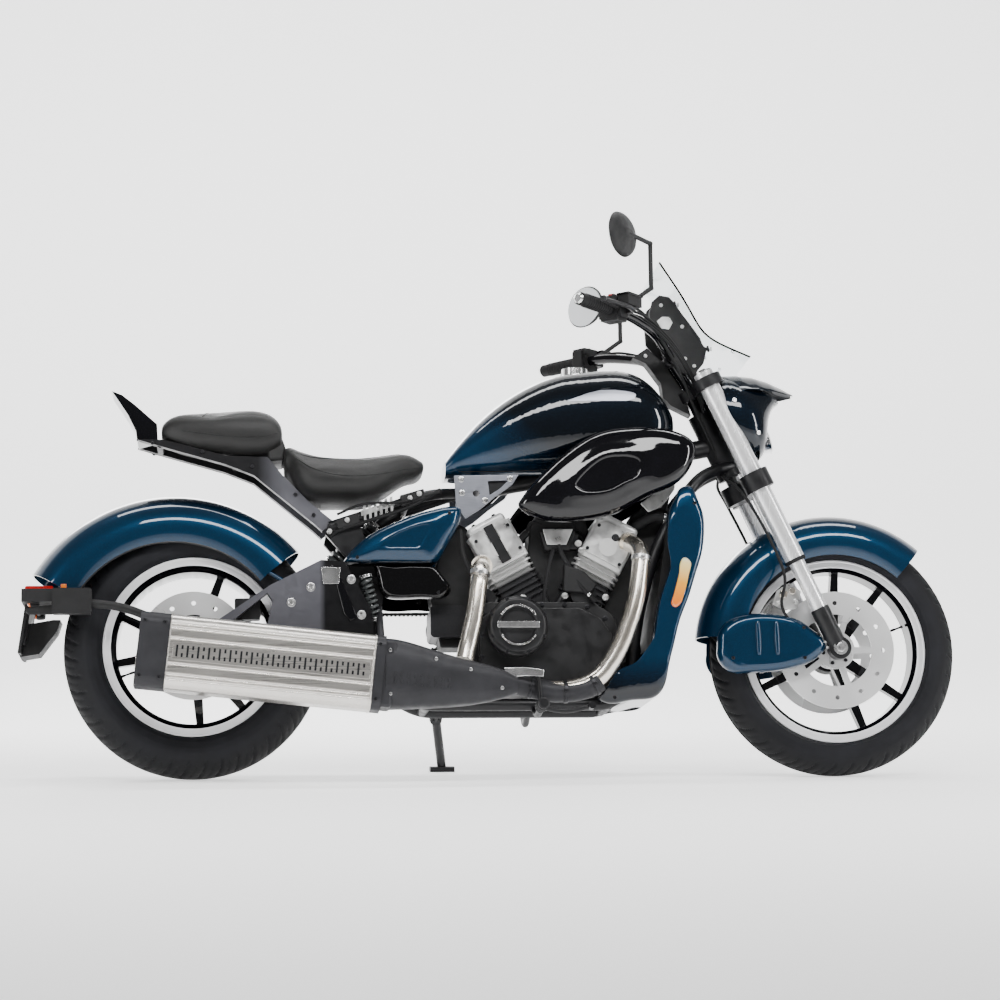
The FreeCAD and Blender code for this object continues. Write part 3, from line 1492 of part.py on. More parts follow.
def make_seats():
    saddle = hull(SADDLE_SHARES, s.saddle_rear_x, s.saddle_front_x - s.saddle_rear_x, s.saddle_base_z,
                  s.saddle_height, s.saddle_width, SADDLE_FULLNESS_SHARE)
    pillion = hull(PAD_SHARES, s.pad_rear_x, s.pad_front_x - s.pad_rear_x, s.pad_base_z, s.pad_height,
                   s.pad_width, PAD_FULLNESS_SHARE)
    carrier = plain("tail_rails").fuse(plain("main_frame"))
    carrier.translate(Vector(0, 0, float(s.fit_gap)))
    fixed_shape("saddle", saddle.cut(carrier))
    fixed_shape("pillion_pad", pillion.cut(carrier))
    points = share_points(FIN_SHARES, s.fin_tip_x, s.fin_length, s.fin_base_z, s.fin_height)
    fixed_shape("tail_fin", clear_of(slab(points, -s.fin_width / 2, s.fin_width / 2), "tail_rails"))


# Covers

SWOOP_SHARES = [
    (0.00, 0.21), (0.06, 0.36), (0.14, 0.52), (0.28, 0.75), (0.455, 0.94), (0.68, 1.00), (0.91, 0.95),
    (0.995, 0.84), (0.985, 0.62), (0.90, 0.42), (0.73, 0.27), (0.58, 0.12), (0.40, 0.02), (0.22, 0.00),
    (0.07, 0.06),
]
SWOOP_POST_SHARES = [(0.30, 0.62), (0.72, 0.70)]
SIDE_COVER_SHARES = [
    (0.00, 0.08), (0.05, 0.22), (0.12, 0.37), (0.22, 0.52), (0.34, 0.65), (0.48, 0.77), (0.64, 0.89),
    (0.80, 0.97),
    (0.93, 1.00), (0.985, 0.97), (0.99, 0.84), (0.96, 0.66), (0.90, 0.44), (0.83, 0.20), (0.76, 0.03),
    (0.66, 0.00),
    (0.45, 0.00), (0.22, 0.00), (0.07, 0.01),
]
LOWER_COVER_SHARES = [
    (1.1283, 0.5482), (1.1405, 0.5076), (1.1568, 0.4690), (1.1874, 0.4609), (1.2688, 0.4629),
    (1.3238, 0.4690), (1.3340, 0.4853), (1.3157, 0.5198),
    (1.2912, 0.5462), (1.2688, 0.5492), (1.2077, 0.5492), (1.1568, 0.5492),
]
COVER_POST_SHARES = [(1.1059, 0.5787), (1.1385, 0.5127)]


def make_covers():
    """The swooping panels beside the tank, and the side covers with their lower guards."""
    swoops = []
    covers = []
    for sign in SIDES.values():
        near = s.swoop_inner_side * sign
        points = share_points(SWOOP_SHARES, s.swoop_rear_x, s.swoop_front_x - s.swoop_rear_x, s.swoop_base_z,
                              s.swoop_height)
        posts = []
        for along, up in SWOOP_POST_SHARES:
            x = s.swoop_rear_x + (s.swoop_front_x - s.swoop_rear_x) * along
            z = s.swoop_base_z + s.swoop_height * up
            posts.append(rod((x, near / 2, z), (x, near + s.overrun * sign, z), s.shock_rod_radius))
        swoops.append(dome(points, near, near + s.swoop_bulge * sign).fuse(posts))
        inner = s.side_cover_inner_side * sign
        points = share_points(SIDE_COVER_SHARES, s.side_cover_rear_x,
                              s.side_cover_front_x - s.side_cover_rear_x, s.side_cover_base_z,
                              s.side_cover_height)
        upper = dome(points, inner, inner + s.side_cover_thickness * sign)
        lower = dome(outline(LOWER_COVER_SHARES), inner, inner + s.lower_cover_thickness * sign,
                     s.cover_flat_share)
        posts = []
        for x, z in outline(COVER_POST_SHARES):
            posts.append(rod((x, s.pivot_plate_side * sign, z), (x, inner + s.overrun * sign, z),
                             s.shock_rod_radius))
        covers.append(upper.fuse([lower] + posts))
    fixed_shape("swoop_covers", clear_of(Part.makeCompound(swoops), "fuel_tank"))
    fixed_shape("side_covers", clear_of(Part.makeCompound(covers), "main_frame"))


RADIATOR_COWL_SHARES = [
    (0.757, 0.969), (0.82, 1.00), (0.88, 1.00), (0.94, 0.95), (0.995, 0.867), (1.00, 0.78), (0.975, 0.69),
    (0.91, 0.587), (0.84, 0.48), (0.757, 0.376), (0.695, 0.26), (0.637, 0.145), (0.585, 0.055), (0.53, 0.025),
    (0.30, 0.005), (0.03, 0.00), (0.00, 0.012), (0.03, 0.035), (0.25, 0.09), (0.36, 0.155), (0.465, 0.234),
    (0.52, 0.35), (0.567, 0.465), (0.63, 0.56), (0.687, 0.651), (0.672, 0.74), (0.658, 0.837), (0.70, 0.91),
]
COWL_HOLLOW_SHARES = [
    (-0.15, 0.042), (0.486, 0.042), (0.59, 0.188), (0.697, 0.365), (0.873, 0.613), (1.05, 0.81), (1.05, 0.96),
    (-0.15, 0.96),
]
LAMP_SHARES = [
    (0.775, 0.66), (0.80, 0.668), (0.84, 0.66), (0.862, 0.645), (0.85, 0.60), (0.82, 0.535), (0.78, 0.47),
    (0.735, 0.428), (0.69, 0.42), (0.665, 0.43), (0.675, 0.47), (0.71, 0.53), (0.745, 0.60),
]


def make_radiator():
    """The core between the down tubes, inside a painted cowl that runs down to the belly."""
    thick = s.radiator_thickness
    core = slab([(s.radiator_bottom_x, s.radiator_bottom_z), (s.radiator_bottom_x + thick,
                                                              s.radiator_bottom_z),
                 (s.radiator_top_x + thick / 2, s.radiator_top_z), (s.radiator_top_x - thick / 2,
                                                                    s.radiator_top_z)],
                -s.radiator_width / 2, s.radiator_width / 2)
    fixed_shape("radiator", clear_of(core, "main_frame"))
    run = s.radiator_cowl_front_x - s.radiator_cowl_rear_x
    side = s.cowl_side

    def shaped(shares):
        return share_points(shares, s.radiator_cowl_rear_x, run, s.radiator_cowl_base_z,
                            s.radiator_cowl_height)

    halves = []
    for sign in SIDES.values():
        halves.append(dome(shaped(RADIATOR_COWL_SHARES), s.cowl_edge_side * sign,
                           (side + s.cowl_swell) * sign, s.cowl_flat_share))
    middle = slab(shaped(RADIATOR_COWL_SHARES), -s.cowl_edge_side, s.cowl_edge_side)
    hollow = slab(shaped(COWL_HOLLOW_SHARES), -side + s.cowl_wall, side - s.cowl_wall)
    shell = middle.fuse(halves).cut(hollow)
    lamps = []
    for sign in SIDES.values():
        lamp = dome(shaped(LAMP_SHARES), s.cowl_edge_side * sign, (side + s.cowl_swell + s.overrun) * sign,
                    s.cover_flat_share)
        lamps.append(lamp)
    fixed_shape("radiator_cowl", clear_of(shell.cut(lamps), "main_frame", "radiator"))
    fixed_shape("side_lamps", Part.makeCompound(lamps).cut(hollow))


# Engine

def bank_place(sign):
    """The frame of one cylinder: its own z runs out along the bore."""
    return Placement(Vector(float(s.crank_x), 0, float(s.crank_z)), Rotation(Vector(0, 1, 0),
                                                                             float(s.bank_angle) * sign))


CASE_SHARES = [
    (0.00, 0.17), (0.03, 0.08), (0.10, 0.00), (0.90, 0.00), (0.97, 0.10), (1.00, 0.26), (1.00, 0.70),
    (0.95, 0.86),
    (0.825, 1.00), (0.15, 1.00), (0.05, 0.94), (0.00, 0.83),
]
CASE_COVER_SHARES = [
    (0.075, 0.256), (0.11, 0.14), (0.175, 0.077), (0.825, 0.077), (0.89, 0.17), (0.9375, 0.342),
    (0.9375, 0.615),
    (0.86, 0.80), (0.725, 0.915), (0.20, 0.915), (0.11, 0.83), (0.075, 0.744),
]
FIN_RUN_SHARE = 0.74
COVER_SEAM_SHARE = 0.28
COVER_SINK_SHARE = 0.8


def make_engine():
    """Crankcase, and two open cylinders in a V with their fins, heads and covers."""
    cases = new_body("engine_cases")
    rear, front = s.case_rear_x, s.case_front_x
    for name, shares, width in (("case_outline", CASE_SHARES, s.case_width),
                                ("case_covers", CASE_COVER_SHARES, s.case_cover_width)):
        sketch = new_sketch(cases, name, "XZ_Plane")
        draw_outline(sketch, share_points(shares, rear, front - rear, s.case_base_z,
                                          s.case_top_z - s.case_base_z))
        pad(cases, sketch, width, both_ways=True)
        document.recompute()
    placed(cases, "engine_cases")
    for label, sign in (("cylinder_front", 1), ("cylinder_rear", -1)):
        half, deep, over = s.barrel_width / 2, s.barrel_depth / 2, s.fin_overhang
        barrel = block((-half, -deep, s.barrel_start), (half, deep, s.barrel_end))
        pieces = [round_edges(barrel, s.case_corner, edges_along(barrel, Vector(0, 0, 1)))]
        step = (s.barrel_end - s.barrel_start) * FIN_RUN_SHARE / s.fin_count
        for number in range(int(s.fin_count)):
            level = s.barrel_end - step * (number + 1) + s.fin_thickness_engine / 2
            fin = block((-half - over, -deep - over, level), (half + over, deep + over,
                                                              level + s.fin_thickness_engine))
            pieces.append(round_edges(fin, s.case_corner + over, edges_along(fin, Vector(0, 0, 1))))
        wide, long = s.head_width / 2, s.head_depth / 2
        head = block((-wide, -long, s.barrel_end), (wide, long, s.head_end))
        pieces.append(round_edges(head, s.case_corner, edges_along(head, Vector(0, 0, 1))))
        waist = s.head_end + (s.head_cover_end - s.head_end) * COVER_SEAM_SHARE
        seam = block((-wide - s.clearance, -long - s.clearance, s.head_end),
                     (wide + s.clearance, long + s.clearance, waist))
        pieces.append(round_edges(seam, s.case_corner, edges_along(seam, Vector(0, 0, 1))))
        top = block((-s.head_cover_width / 2, -long + s.overrun, s.head_end),
                    (s.head_cover_width / 2, long - s.overrun, s.head_cover_end))
        pieces.append(round_edges(top, s.case_corner, [edge for edge in top.Edges
                                                       if edge.BoundBox.ZMax > float(s.head_end) + 1e-6]))
        middle = (s.barrel_end + s.head_end) / 2
        for side in (-1, 1):
            pieces.append(rod((0, long * side * COVER_SINK_SHARE, middle), (0, (long + s.overrun) * side,
                                                                            middle), s.cam_plug_radius))
        shape = pieces[0].fuse(pieces[1:])
        shape.Placement = bank_place(sign)
        others = ["engine_cases"] if sign > 0 else ["engine_cases", "cylinder_front"]
        fixed_shape(label, clear_of(shape, *others))


FITTING_SHARES = [
    # starter, oil filter, water pump, breather, throttle body, air box
    (1.6864, 0.000, 0.4772), (1.7739, -0.421, 0.2944), (1.7322, 0.000, 0.2538), (1.4318, 0.000, 0.4690),
    (1.6436, 0.000, 0.4467), (1.6100, 0.000, 0.5990),
]
# How far the starter, the water pump and the breather stand out, as shares of half the case.
STAND_OUT_SHARES = (0.6, 1.2, 0.7)


def make_engine_fittings():
    """What is bolted to the cases: starter, oil filter, water pump, throttle body and its air box."""
    starter, oil, pump, breather, throttle, air_box = route(FITTING_SHARES)
    half = Vector(0, float(s.case_width) / 2, 0)
    box = block((air_box.x, -s.air_box_width / 2, air_box.z),
                (air_box.x + s.air_box_length, s.air_box_width / 2, air_box.z + s.air_box_height))
    box = round_edges(box, s.overrun, box.Edges)
    pieces = [
        rod(starter - half, starter + half * STAND_OUT_SHARES[0], s.starter_radius),
        rod(oil, oil + Vector(float(s.filter_length), 0, 0), s.filter_radius),
        rod(pump, pump + half * STAND_OUT_SHARES[1], s.starter_radius),
        rod(breather - half * STAND_OUT_SHARES[2], breather + half * STAND_OUT_SHARES[2], s.fitting_radius),
        rod(throttle, Vector(throttle.x, 0, air_box.z + float(s.overrun)), s.fitting_radius).fuse(box),
    ]
    shape = Part.makeCompound(pieces)
    fixed_shape("engine_fittings", clear_of(shape, "engine_cases", "cylinder_front", "cylinder_rear",
                                            "clutch_cover", "alternator_cover"))


COVER_RING_SHARES = [
    # out, steps down from the face
    (1.00, None), (1.00, 1.0), (0.975, 0.6), (0.90, 0.15), (0.84, 0.0), (0.66, 0.0), (0.60, 0.22), (0.56, 0.5),
    (0.0, 0.5),
]


def make_engine_covers():
    """Turned covers: the clutch on the right and the alternator on the left."""
    for label, x, z, radius, near, reach, turn in (
            ("clutch_cover", s.clutch_x, s.clutch_z, s.clutch_radius, s.case_cover_width / 2, s.clutch_reach,
             Rotation(Vector(1, 0, 0), HALF_TURN)),
            ("alternator_cover", s.alternator_x, s.alternator_z, s.alternator_radius, s.case_cover_width / 2,
             s.alternator_reach, Rotation())):
        body = new_body(label)
        sketch = new_sketch(body, label + "_section", "XY_Plane")
        step = (reach - near) * s.cover_step_share
        draw_outline(sketch, [(0, near)] + [(radius * out, reach - step * down) if down is not None
                                            else (radius * out, near) for out, down in COVER_RING_SHARES])
        revolve(body, sketch)
        placed(body, label, Placement(Vector(float(x), 0, float(z)), turn))
    document.recompute()


# Exhaust

PORT_SHARES = [(1.4196, -1.000, 0.5563), (1.8065, -1.000, 0.6193)]
REAR_HEADER_SHARES = [
    (1.4063, -1.895, 0.5279), (1.3931, -2.095, 0.4264), (1.3707, -2.158, 0.3299),
    (1.3605, -2.263, 0.2893),
]
FRONT_HEADER_SHARES = [
    (1.8391, -1.758, 0.5888), (1.8187, -2.032, 0.4467), (1.7678, -2.074, 0.3147),
    (1.7067, -2.105, 0.2294), (1.6049, -2.116, 0.2071), (1.4776, -2.326, 0.2294),
]
COLLECTOR_SHARES = [
    # place, top, bottom, half width
    (0.00, 1.00, 0.00, 0.94), (0.33, 0.86, 0.02, 0.92), (0.62, 0.70, 0.06, 0.76), (0.86, 0.58, 0.14, 0.56),
    (1.00, 0.46, 0.22, 0.42),
]
MUFFLER_GROOVE_SHARES = (-0.74, -0.62, -0.34, 0.34, 0.62, 0.74)
RIB_DEPTH_SHARE = 0.35
OUTLET_SHARES = (0.0, -0.3)


COLLECTOR_FULLNESS_SHARE = 3.2
HANGER_SHARES = [(1.1446, -0.874, 0.4467), (1.1446, -2.484, 0.3270)]


def make_exhaust():
    """Two headers into a shielded collector, and the ribbed box muffler with its cap and collar."""
    ports = route(PORT_SHARES)
    rear = tube([ports[0]] + route(REAR_HEADER_SHARES), s.header_radius)
    front = tube([ports[1]] + route(FRONT_HEADER_SHARES), s.header_radius)
    rings = []
    for run in (ports[:1] + route(REAR_HEADER_SHARES)[:1], ports[1:] + route(FRONT_HEADER_SHARES)[:1]):
        ahead = (run[1] - run[0]).normalize()
        start = run[0] + ahead * float(s.overrun)
        rings.append(rod(start, start + ahead * float(s.overrun * 2), s.header_radius + s.overrun))
    collector = hull(COLLECTOR_SHARES, s.collector_rear_x, s.collector_front_x - s.collector_rear_x,
                     s.collector_base_z, s.collector_height, s.muffler_width, COLLECTOR_FULLNESS_SHARE)
    collector.translate(Vector(0, float(-s.collector_side), 0))
    place = Placement(Vector(float(s.muffler_rear_x), float(-s.muffler_side), float(s.muffler_rear_z)),
                      Rotation(Vector(0, 1, 0), float(s.muffler_slope)))
    half = s.muffler_width / 2
    high = s.muffler_height / 2
    spans = (("cap", 0, s.muffler_cap_length), ("body", s.muffler_cap_length,
                                                s.muffler_length - s.muffler_collar_length),
             ("collar", s.muffler_length - s.muffler_collar_length, s.muffler_length))
    shapes = {}
    for label, start, end in spans:
        box = block((start, -half, -high), (end, half, high))
        box = round_edges(box, s.muffler_corner, edges_along(box, Vector(1, 0, 0)))
        if label == "body":
            grooves = []
            for up in MUFFLER_GROOVE_SHARES:
                for sign in SIDES.values():
                    away = (half + s.rib_radius * RIB_DEPTH_SHARE) * sign
                    grooves.append(rod((start - s.overrun, away, high * up),
                                       (end + s.overrun, away, high * up), s.rib_radius))
            box = box.cut(grooves)
        if label == "cap":
            outlet = Vector(0, float(half * OUTLET_SHARES[0]), float(high * OUTLET_SHARES[1]))
            bore = rod(outlet - Vector(float(s.overrun), 0, 0),
                       outlet + Vector(float(s.muffler_cap_length / 2), 0, 0), s.header_radius)
            box = box.cut(bore)
        box.Placement = place
        shapes[label] = box
    hanger = clear_of(rod(*route(HANGER_SHARES), s.shock_rod_radius), "main_frame")
    ends = Part.makeCompound([shapes["cap"], shapes["collar"].fuse(hanger).cut(shapes["body"])])
    body = shapes["body"]
    collector = collector.cut([ends, body])
    fixed_shape("muffler_body", body)
    fixed_shape("muffler_ends", ends)
    fixed_shape("collector_shield", collector)
    pipes = Part.makeCompound([rear.fuse(rings[0]), front.fuse(rings[1])])
    fixed_shape("headers", clear_of(pipes, "cylinder_front", "cylinder_rear", "collector_shield"))


# Final drive

def make_belt():
    small = s.front_pulley_radius + s.fit_gap
    large = s.rear_pulley_radius + s.fit_gap
    front = Vector(float(s.front_pulley_x), 0, float(s.front_pulley_z))
    rear = Vector(REAR_AXLE)

    def loop(extra):
        near = float(small + extra)
        far = float(large + extra)
        span = front - rear
        tilt = math.atan2(span.z, span.x)
        spread = math.acos((far - near) / span.Length)

        def spot(centre, radius, angle):
            return centre + Vector(radius * math.cos(angle), 0, radius * math.sin(angle))

        top, low = tilt + spread, tilt - spread
        edges = [
            Part.LineSegment(spot(rear, far, top), spot(front, near, top)).toShape(),
            Part.Arc(spot(front, near, top), spot(front, near, tilt), spot(front, near, low)).toShape(),
            Part.LineSegment(spot(front, near, low), spot(rear, far, low)).toShape(),
            Part.Arc(spot(rear, far, low), spot(rear, far, tilt + math.pi), spot(rear, far, top)).toShape(),
        ]
        return Part.Face(Part.Wire(edges))

    face = loop(s.belt_thickness).cut(loop(0))
    belt = face.extrude(Vector(0, float(s.belt_width - s.clearance * 2), 0))
    belt.translate(Vector(0, float(s.belt_side - s.belt_width / 2 + s.clearance), 0))
    fixed_shape("drive_belt", belt)
    pulley = Part.makeCylinder(float(s.front_pulley_radius), float(s.belt_width),
                               front + Vector(0, float(s.belt_side - s.belt_width / 2), 0), Vector(0, 1, 0))
    shaft = Part.makeCylinder(float(s.axle_radius), float(s.belt_side), Vector(front.x, 0, front.z),
                              Vector(0, 1, 0))
    boss = block((s.front_pulley_x - s.front_pulley_radius, -s.case_width / 3,
                  s.front_pulley_z - s.front_pulley_radius), (s.case_rear_x, s.case_width / 3,
                                                              s.front_pulley_z + s.front_pulley_radius))
    boss = round_edges(boss, s.case_corner, edges_along(boss, Vector(0, 1, 0)))
    fixed_shape("front_pulley", pulley.fuse(shaft).fuse(boss))


REAR_CALIPER_SHARES = (0.75, 0.62, 0.70)


def make_rear_caliper():
    half = s.caliper_width / 2
    x = s.rear_disc_radius * REAR_CALIPER_SHARES[0]
    z = s.rear_radius + s.rear_disc_radius * REAR_CALIPER_SHARES[1]
    shape = block((x, -s.rear_disc_side - half, z - s.caliper_height / 3),
                  (x + s.caliper_height, -s.rear_disc_side + half - s.overrun * 2, z + s.caliper_height / 2))
    shape = round_edges(shape, s.overrun, edges_along(shape, Vector(0, 1, 0)))
    slot = rod((0, -s.rear_disc_side - s.disc_thickness / 2 - s.slot_gap, s.rear_radius),
               (0, -s.rear_disc_side + s.disc_thickness / 2 + s.slot_gap, s.rear_radius),
               s.rear_disc_radius + s.overrun)
    along = x + s.caliper_height * REAR_CALIPER_SHARES[2]
    arm = rod((along, -s.rear_disc_side - half + s.overrun, z + s.caliper_height / 3),
              (along, -s.swingarm_side - s.overrun, z + s.caliper_height / 2), s.shock_rod_radius)
    fixed_shape("rear_caliper", clear_of(shape.cut(slot).fuse(arm), "swingarm"))


# Plate carrier, stand and foot controls

CARRIER_ARM_SHARES = [(-0.2381, -1.726, 0.3959), (-0.5357, -1.726, 0.4365)]
HOLDER_SHARE = 0.84
# Half widths of the cross piece and the lamp as shares of the plate.
CARRIER_WIDTH_SHARES = (0.17, 0.25)


def make_carrier():
    """The arm on the right swingarm leg that carries the lamp, and the plate behind the tyre."""
    side = s.carrier_side + s.carrier_block_thickness / 3
    low = s.carrier_block_z
    start = Vector(0, float(-s.swingarm_side - s.swingarm_thickness),
                   float(s.rear_radius + s.axle_bore_radius + s.fit_gap + s.carrier_tube_radius))
    bar = tube([start] + route(CARRIER_ARM_SHARES)
               + [Vector(float(s.carrier_block_rear_x + s.carrier_block_length / 2), float(-side),
                         float(low + s.carrier_block_height / 2))], s.carrier_tube_radius)
    half = s.carrier_block_thickness / 2
    pod = block((s.carrier_block_rear_x, -side - half, low),
                (s.carrier_block_rear_x + s.carrier_block_length, -side + half, low + s.carrier_block_height))
    pod = round_edges(pod, s.overrun, edges_along(pod, Vector(0, 1, 0)))
    back = s.plate_x - s.carrier_tube_radius
    top = low + s.carrier_block_height
    cross = block((back, -side, low + s.carrier_block_height / 2),
                  (s.carrier_block_rear_x + half, s.plate_width * CARRIER_WIDTH_SHARES[0], top))
    hollow = Part.makeCylinder(float(s.rear_radius + s.carrier_tube_radius), float(s.rear_tyre_width) * 2,
                               Vector(0, -float(s.rear_tyre_width), float(s.rear_radius)), Vector(0, 1, 0))
    plate = block((0, -s.plate_width / 2, -s.plate_height), (s.plate_thickness, s.plate_width / 2, 0))
    plate.Placement = Placement(Vector(float(s.plate_x), 0, float(s.plate_z)), Rotation(Vector(0, 1, 0),
                                                                                        s.plate_tilt))
    holder = block((s.plate_thickness, -s.plate_width * HOLDER_SHARE / 2, -s.plate_height * HOLDER_SHARE),
                   (s.plate_thickness * 3, s.plate_width * HOLDER_SHARE / 2, 0))
    holder.Placement = plate.Placement
    wide = s.plate_width * CARRIER_WIDTH_SHARES[1]
    lamp = block((back, -wide, top), (s.carrier_block_rear_x - s.overrun, wide, top + s.lamp_rise))
    lamp = round_edges(lamp, s.overrun, edges_along(lamp, Vector(0, 1, 0))).cut(hollow)
    carrier = bar.fuse([pod, cross.cut(hollow), holder]).cut([plate, lamp])
    fixed_shape("plate_carrier", clear_of(carrier, "swingarm", "rear_fender", "rear_axle"))
    fixed_shape("number_plate", plate.cut(lamp))
    fixed_shape("tail_lamp", clear_of(lamp, "rear_fender"))


def stand_frame():
    """The stand's hinge: its own z is the pin, its own x points at the foot."""
    lift = rear_lift + (front_lift - rear_lift) * s.stand_x / s.wheelbase
    foot_z = (s.stand_foot_thickness - lift + s.stand_foot_side * math.sin(lean)) / math.cos(lean)
    start = Vector(float(s.stand_x), float(s.stand_side), float(s.stand_z))
    foot = Vector(float(s.stand_x + s.stand_foot_ahead), float(s.stand_foot_side), float(foot_z))
    out = (foot - start).normalize()
    hinge = out.cross(Vector(-1, 0, 0)).normalize()
    return start, foot, out, hinge


# The bracket's arms meet the frame rail out and up from its middle.
STAND_RAIL_SHARES = (0.6, 0.7)
EAR_SHARES = (0.9, 0.8)
STAND_RISE_SHARE = 1.6


def make_stand():
    start, foot, out, hinge = stand_frame()
    half = float(s.stand_barrel_length) / 2
    barrel = Part.makeCylinder(float(s.stand_barrel_radius), half * 2, start - hinge * half, hinge)
    leg = rod(start, foot - out * float(s.stand_leg_radius), s.stand_leg_radius)
    pad_size = Vector(float(s.stand_foot_length), float(s.stand_foot_width), float(s.stand_foot_thickness))
    sole = Part.makeBox(pad_size.x, pad_size.y, pad_size.z * 2,
                        Vector(-pad_size.x / 2, -pad_size.y / 2, -pad_size.z))
    sole.Placement = Placement(foot, Rotation(Vector(1, 0, 0), float(s.lean)))
    shape = leg.fuse([barrel, sole])
    shape = shape.cut(Part.makeCylinder(float(s.stand_pin_radius + s.running_fit), half * 4,
                                        start - hinge * half * 2, hinge))
    fixed_shape("side_stand", shape)
    pin = Part.makeCylinder(float(s.stand_pin_radius), half * 2 + float(s.overrun) * 4,
                            start - hinge * (half + float(s.overrun) * 2), hinge)
    up = hinge.cross(Vector(1, 0, 0)).normalize()
    if up.z < 0:
        up = up * -1
    rail = Vector(float(s.stand_x), float(s.rail_side + s.frame_tube_radius * STAND_RAIL_SHARES[0]),
                  float(s.cradle_z))
    step = half + float(s.overrun)
    ears = []
    for sign in (-1, 1):
        centre = start + hinge * (sign * step)
        thick = float(s.overrun) * EAR_SHARES[1]
        ears.append(Part.makeCylinder(float(s.stand_barrel_radius) * EAR_SHARES[0], thick,
                                      centre - hinge * (thick / 2), hinge))
    over = start + hinge * step
    high = over + up * float(s.stand_barrel_radius * STAND_RISE_SHARE)
    arms = [rod(start - hinge * step, rail, s.stand_arm_radius), rod(over, high, s.stand_arm_radius),
            rod(high, rail + Vector(0, 0, float(s.frame_tube_radius * STAND_RAIL_SHARES[1])),
                s.stand_arm_radius)]
    fixed_shape("stand_bracket", clear_of(pin.fuse(ears + arms), "main_frame"))


# The mount's bend out from the rail, and the reach of the lever ahead of the peg.
PEG_SHARES = (1.5, 1.4)


def make_pegs():
    """Footrests with the brake pedal on the right and the gear lever on the left."""
    pieces = []
    for sign in SIDES.values():
        level = s.peg_z if sign < 0 else s.peg_z + s.peg_left_lift
        inner = s.peg_inner_side * sign
        mount = tube([(s.peg_x, s.rail_side * sign, s.cradle_z - s.frame_tube_radius / 2),
                      (s.peg_x, (s.rail_side + s.clamp_radius * PEG_SHARES[0]) * sign,
                       s.peg_z - s.peg_radius), (s.peg_x, inner, level - s.peg_radius / 2)],
                     s.shock_rod_radius)
        peg = rod((s.peg_x, inner, level), (s.peg_x, inner + s.peg_length * sign, level), s.peg_radius)
        reach = s.peg_length * PEG_SHARES[1]
        lever = tube([(s.peg_x, inner, level), (s.peg_x + reach / 2, inner + s.overrun * sign,
                                                level - s.peg_radius),
                      (s.peg_x + reach, inner + s.peg_radius * sign, level)], s.mirror_stem_radius)
        toe = rod((s.peg_x + reach, inner + s.overrun * sign, level),
                  (s.peg_x + reach, inner + s.peg_length / 2 * sign, level), s.shock_rod_radius)
        pieces.append(clear_of(mount.fuse([peg, lever, toe]), "main_frame"))
    fixed_shape("foot_controls", Part.makeCompound(pieces))


make_rear_wheel()
make_front_wheel()
make_axles()
make_fork()
make_clamps()
handle_controls = make_handlebar()
make_mirrors(handle_controls)
make_head_lamp()
make_screen()
make_front_fender()
make_calipers()
document.recompute()
make_frame()
make_frame_plates()
make_swingarm()
make_shocks()
make_tail_rails()
make_rear_fender()
make_tank()
make_seats()
make_covers()
make_radiator()
make_engine()
make_engine_covers()
make_engine_fittings()
make_exhaust()
make_belt()
make_rear_caliper()
make_carrier()
make_stand()
make_pegs()

document.recompute()
for item in document.Objects:
    if "Invalid" in item.State or "Error" in item.State:
        raise SystemExit("failed: " + item.Label)
os.makedirs("parts", exist_ok=True)
total = Part.makeCompound([item.Shape for item in parts])
print("box", total.BoundBox)
print("nodes", len(parts))
start, foot, out, hinge = stand_frame()
turn = LEAN.Rotation
for name, spot, axis in (("steering", fork_spot(-s.fork_offset, up_fork(s.head_top_z)), STEER_UP),
                         ("front wheel", FRONT_AXLE, Vector(0, 1, 0)), ("rear wheel", REAR_AXLE,
                                                                        Vector(0, 1, 0)),
                         ("side stand", start, hinge), ("stand foot", foot, out)):
    print("joint", name, LEAN.multVec(spot), turn.multVec(axis))
for item in parts:
    if item.Shape.isNull() or not item.Shape.isValid():
        raise SystemExit("bad shape: " + item.Label)
for item in parts:
    item.Shape.exportStep("parts/%s.step" % item.Label)
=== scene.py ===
import math
import random

import bmesh
import bpy
from mathutils import Matrix, Vector
from mathutils.bvhtree import BVHTree


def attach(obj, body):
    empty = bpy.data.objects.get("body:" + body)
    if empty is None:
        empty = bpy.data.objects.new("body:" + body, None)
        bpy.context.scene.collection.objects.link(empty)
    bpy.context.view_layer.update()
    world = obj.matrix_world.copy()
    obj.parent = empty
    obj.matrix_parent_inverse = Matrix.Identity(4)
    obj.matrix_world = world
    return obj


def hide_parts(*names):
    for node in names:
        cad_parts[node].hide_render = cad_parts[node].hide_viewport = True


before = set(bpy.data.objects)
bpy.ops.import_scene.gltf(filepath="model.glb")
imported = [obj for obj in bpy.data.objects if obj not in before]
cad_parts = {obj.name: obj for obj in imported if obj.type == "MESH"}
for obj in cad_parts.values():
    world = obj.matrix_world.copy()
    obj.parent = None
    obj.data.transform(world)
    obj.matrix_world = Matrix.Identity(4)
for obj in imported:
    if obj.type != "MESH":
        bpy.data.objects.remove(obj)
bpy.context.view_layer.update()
random.seed(7)

MM = 0.001
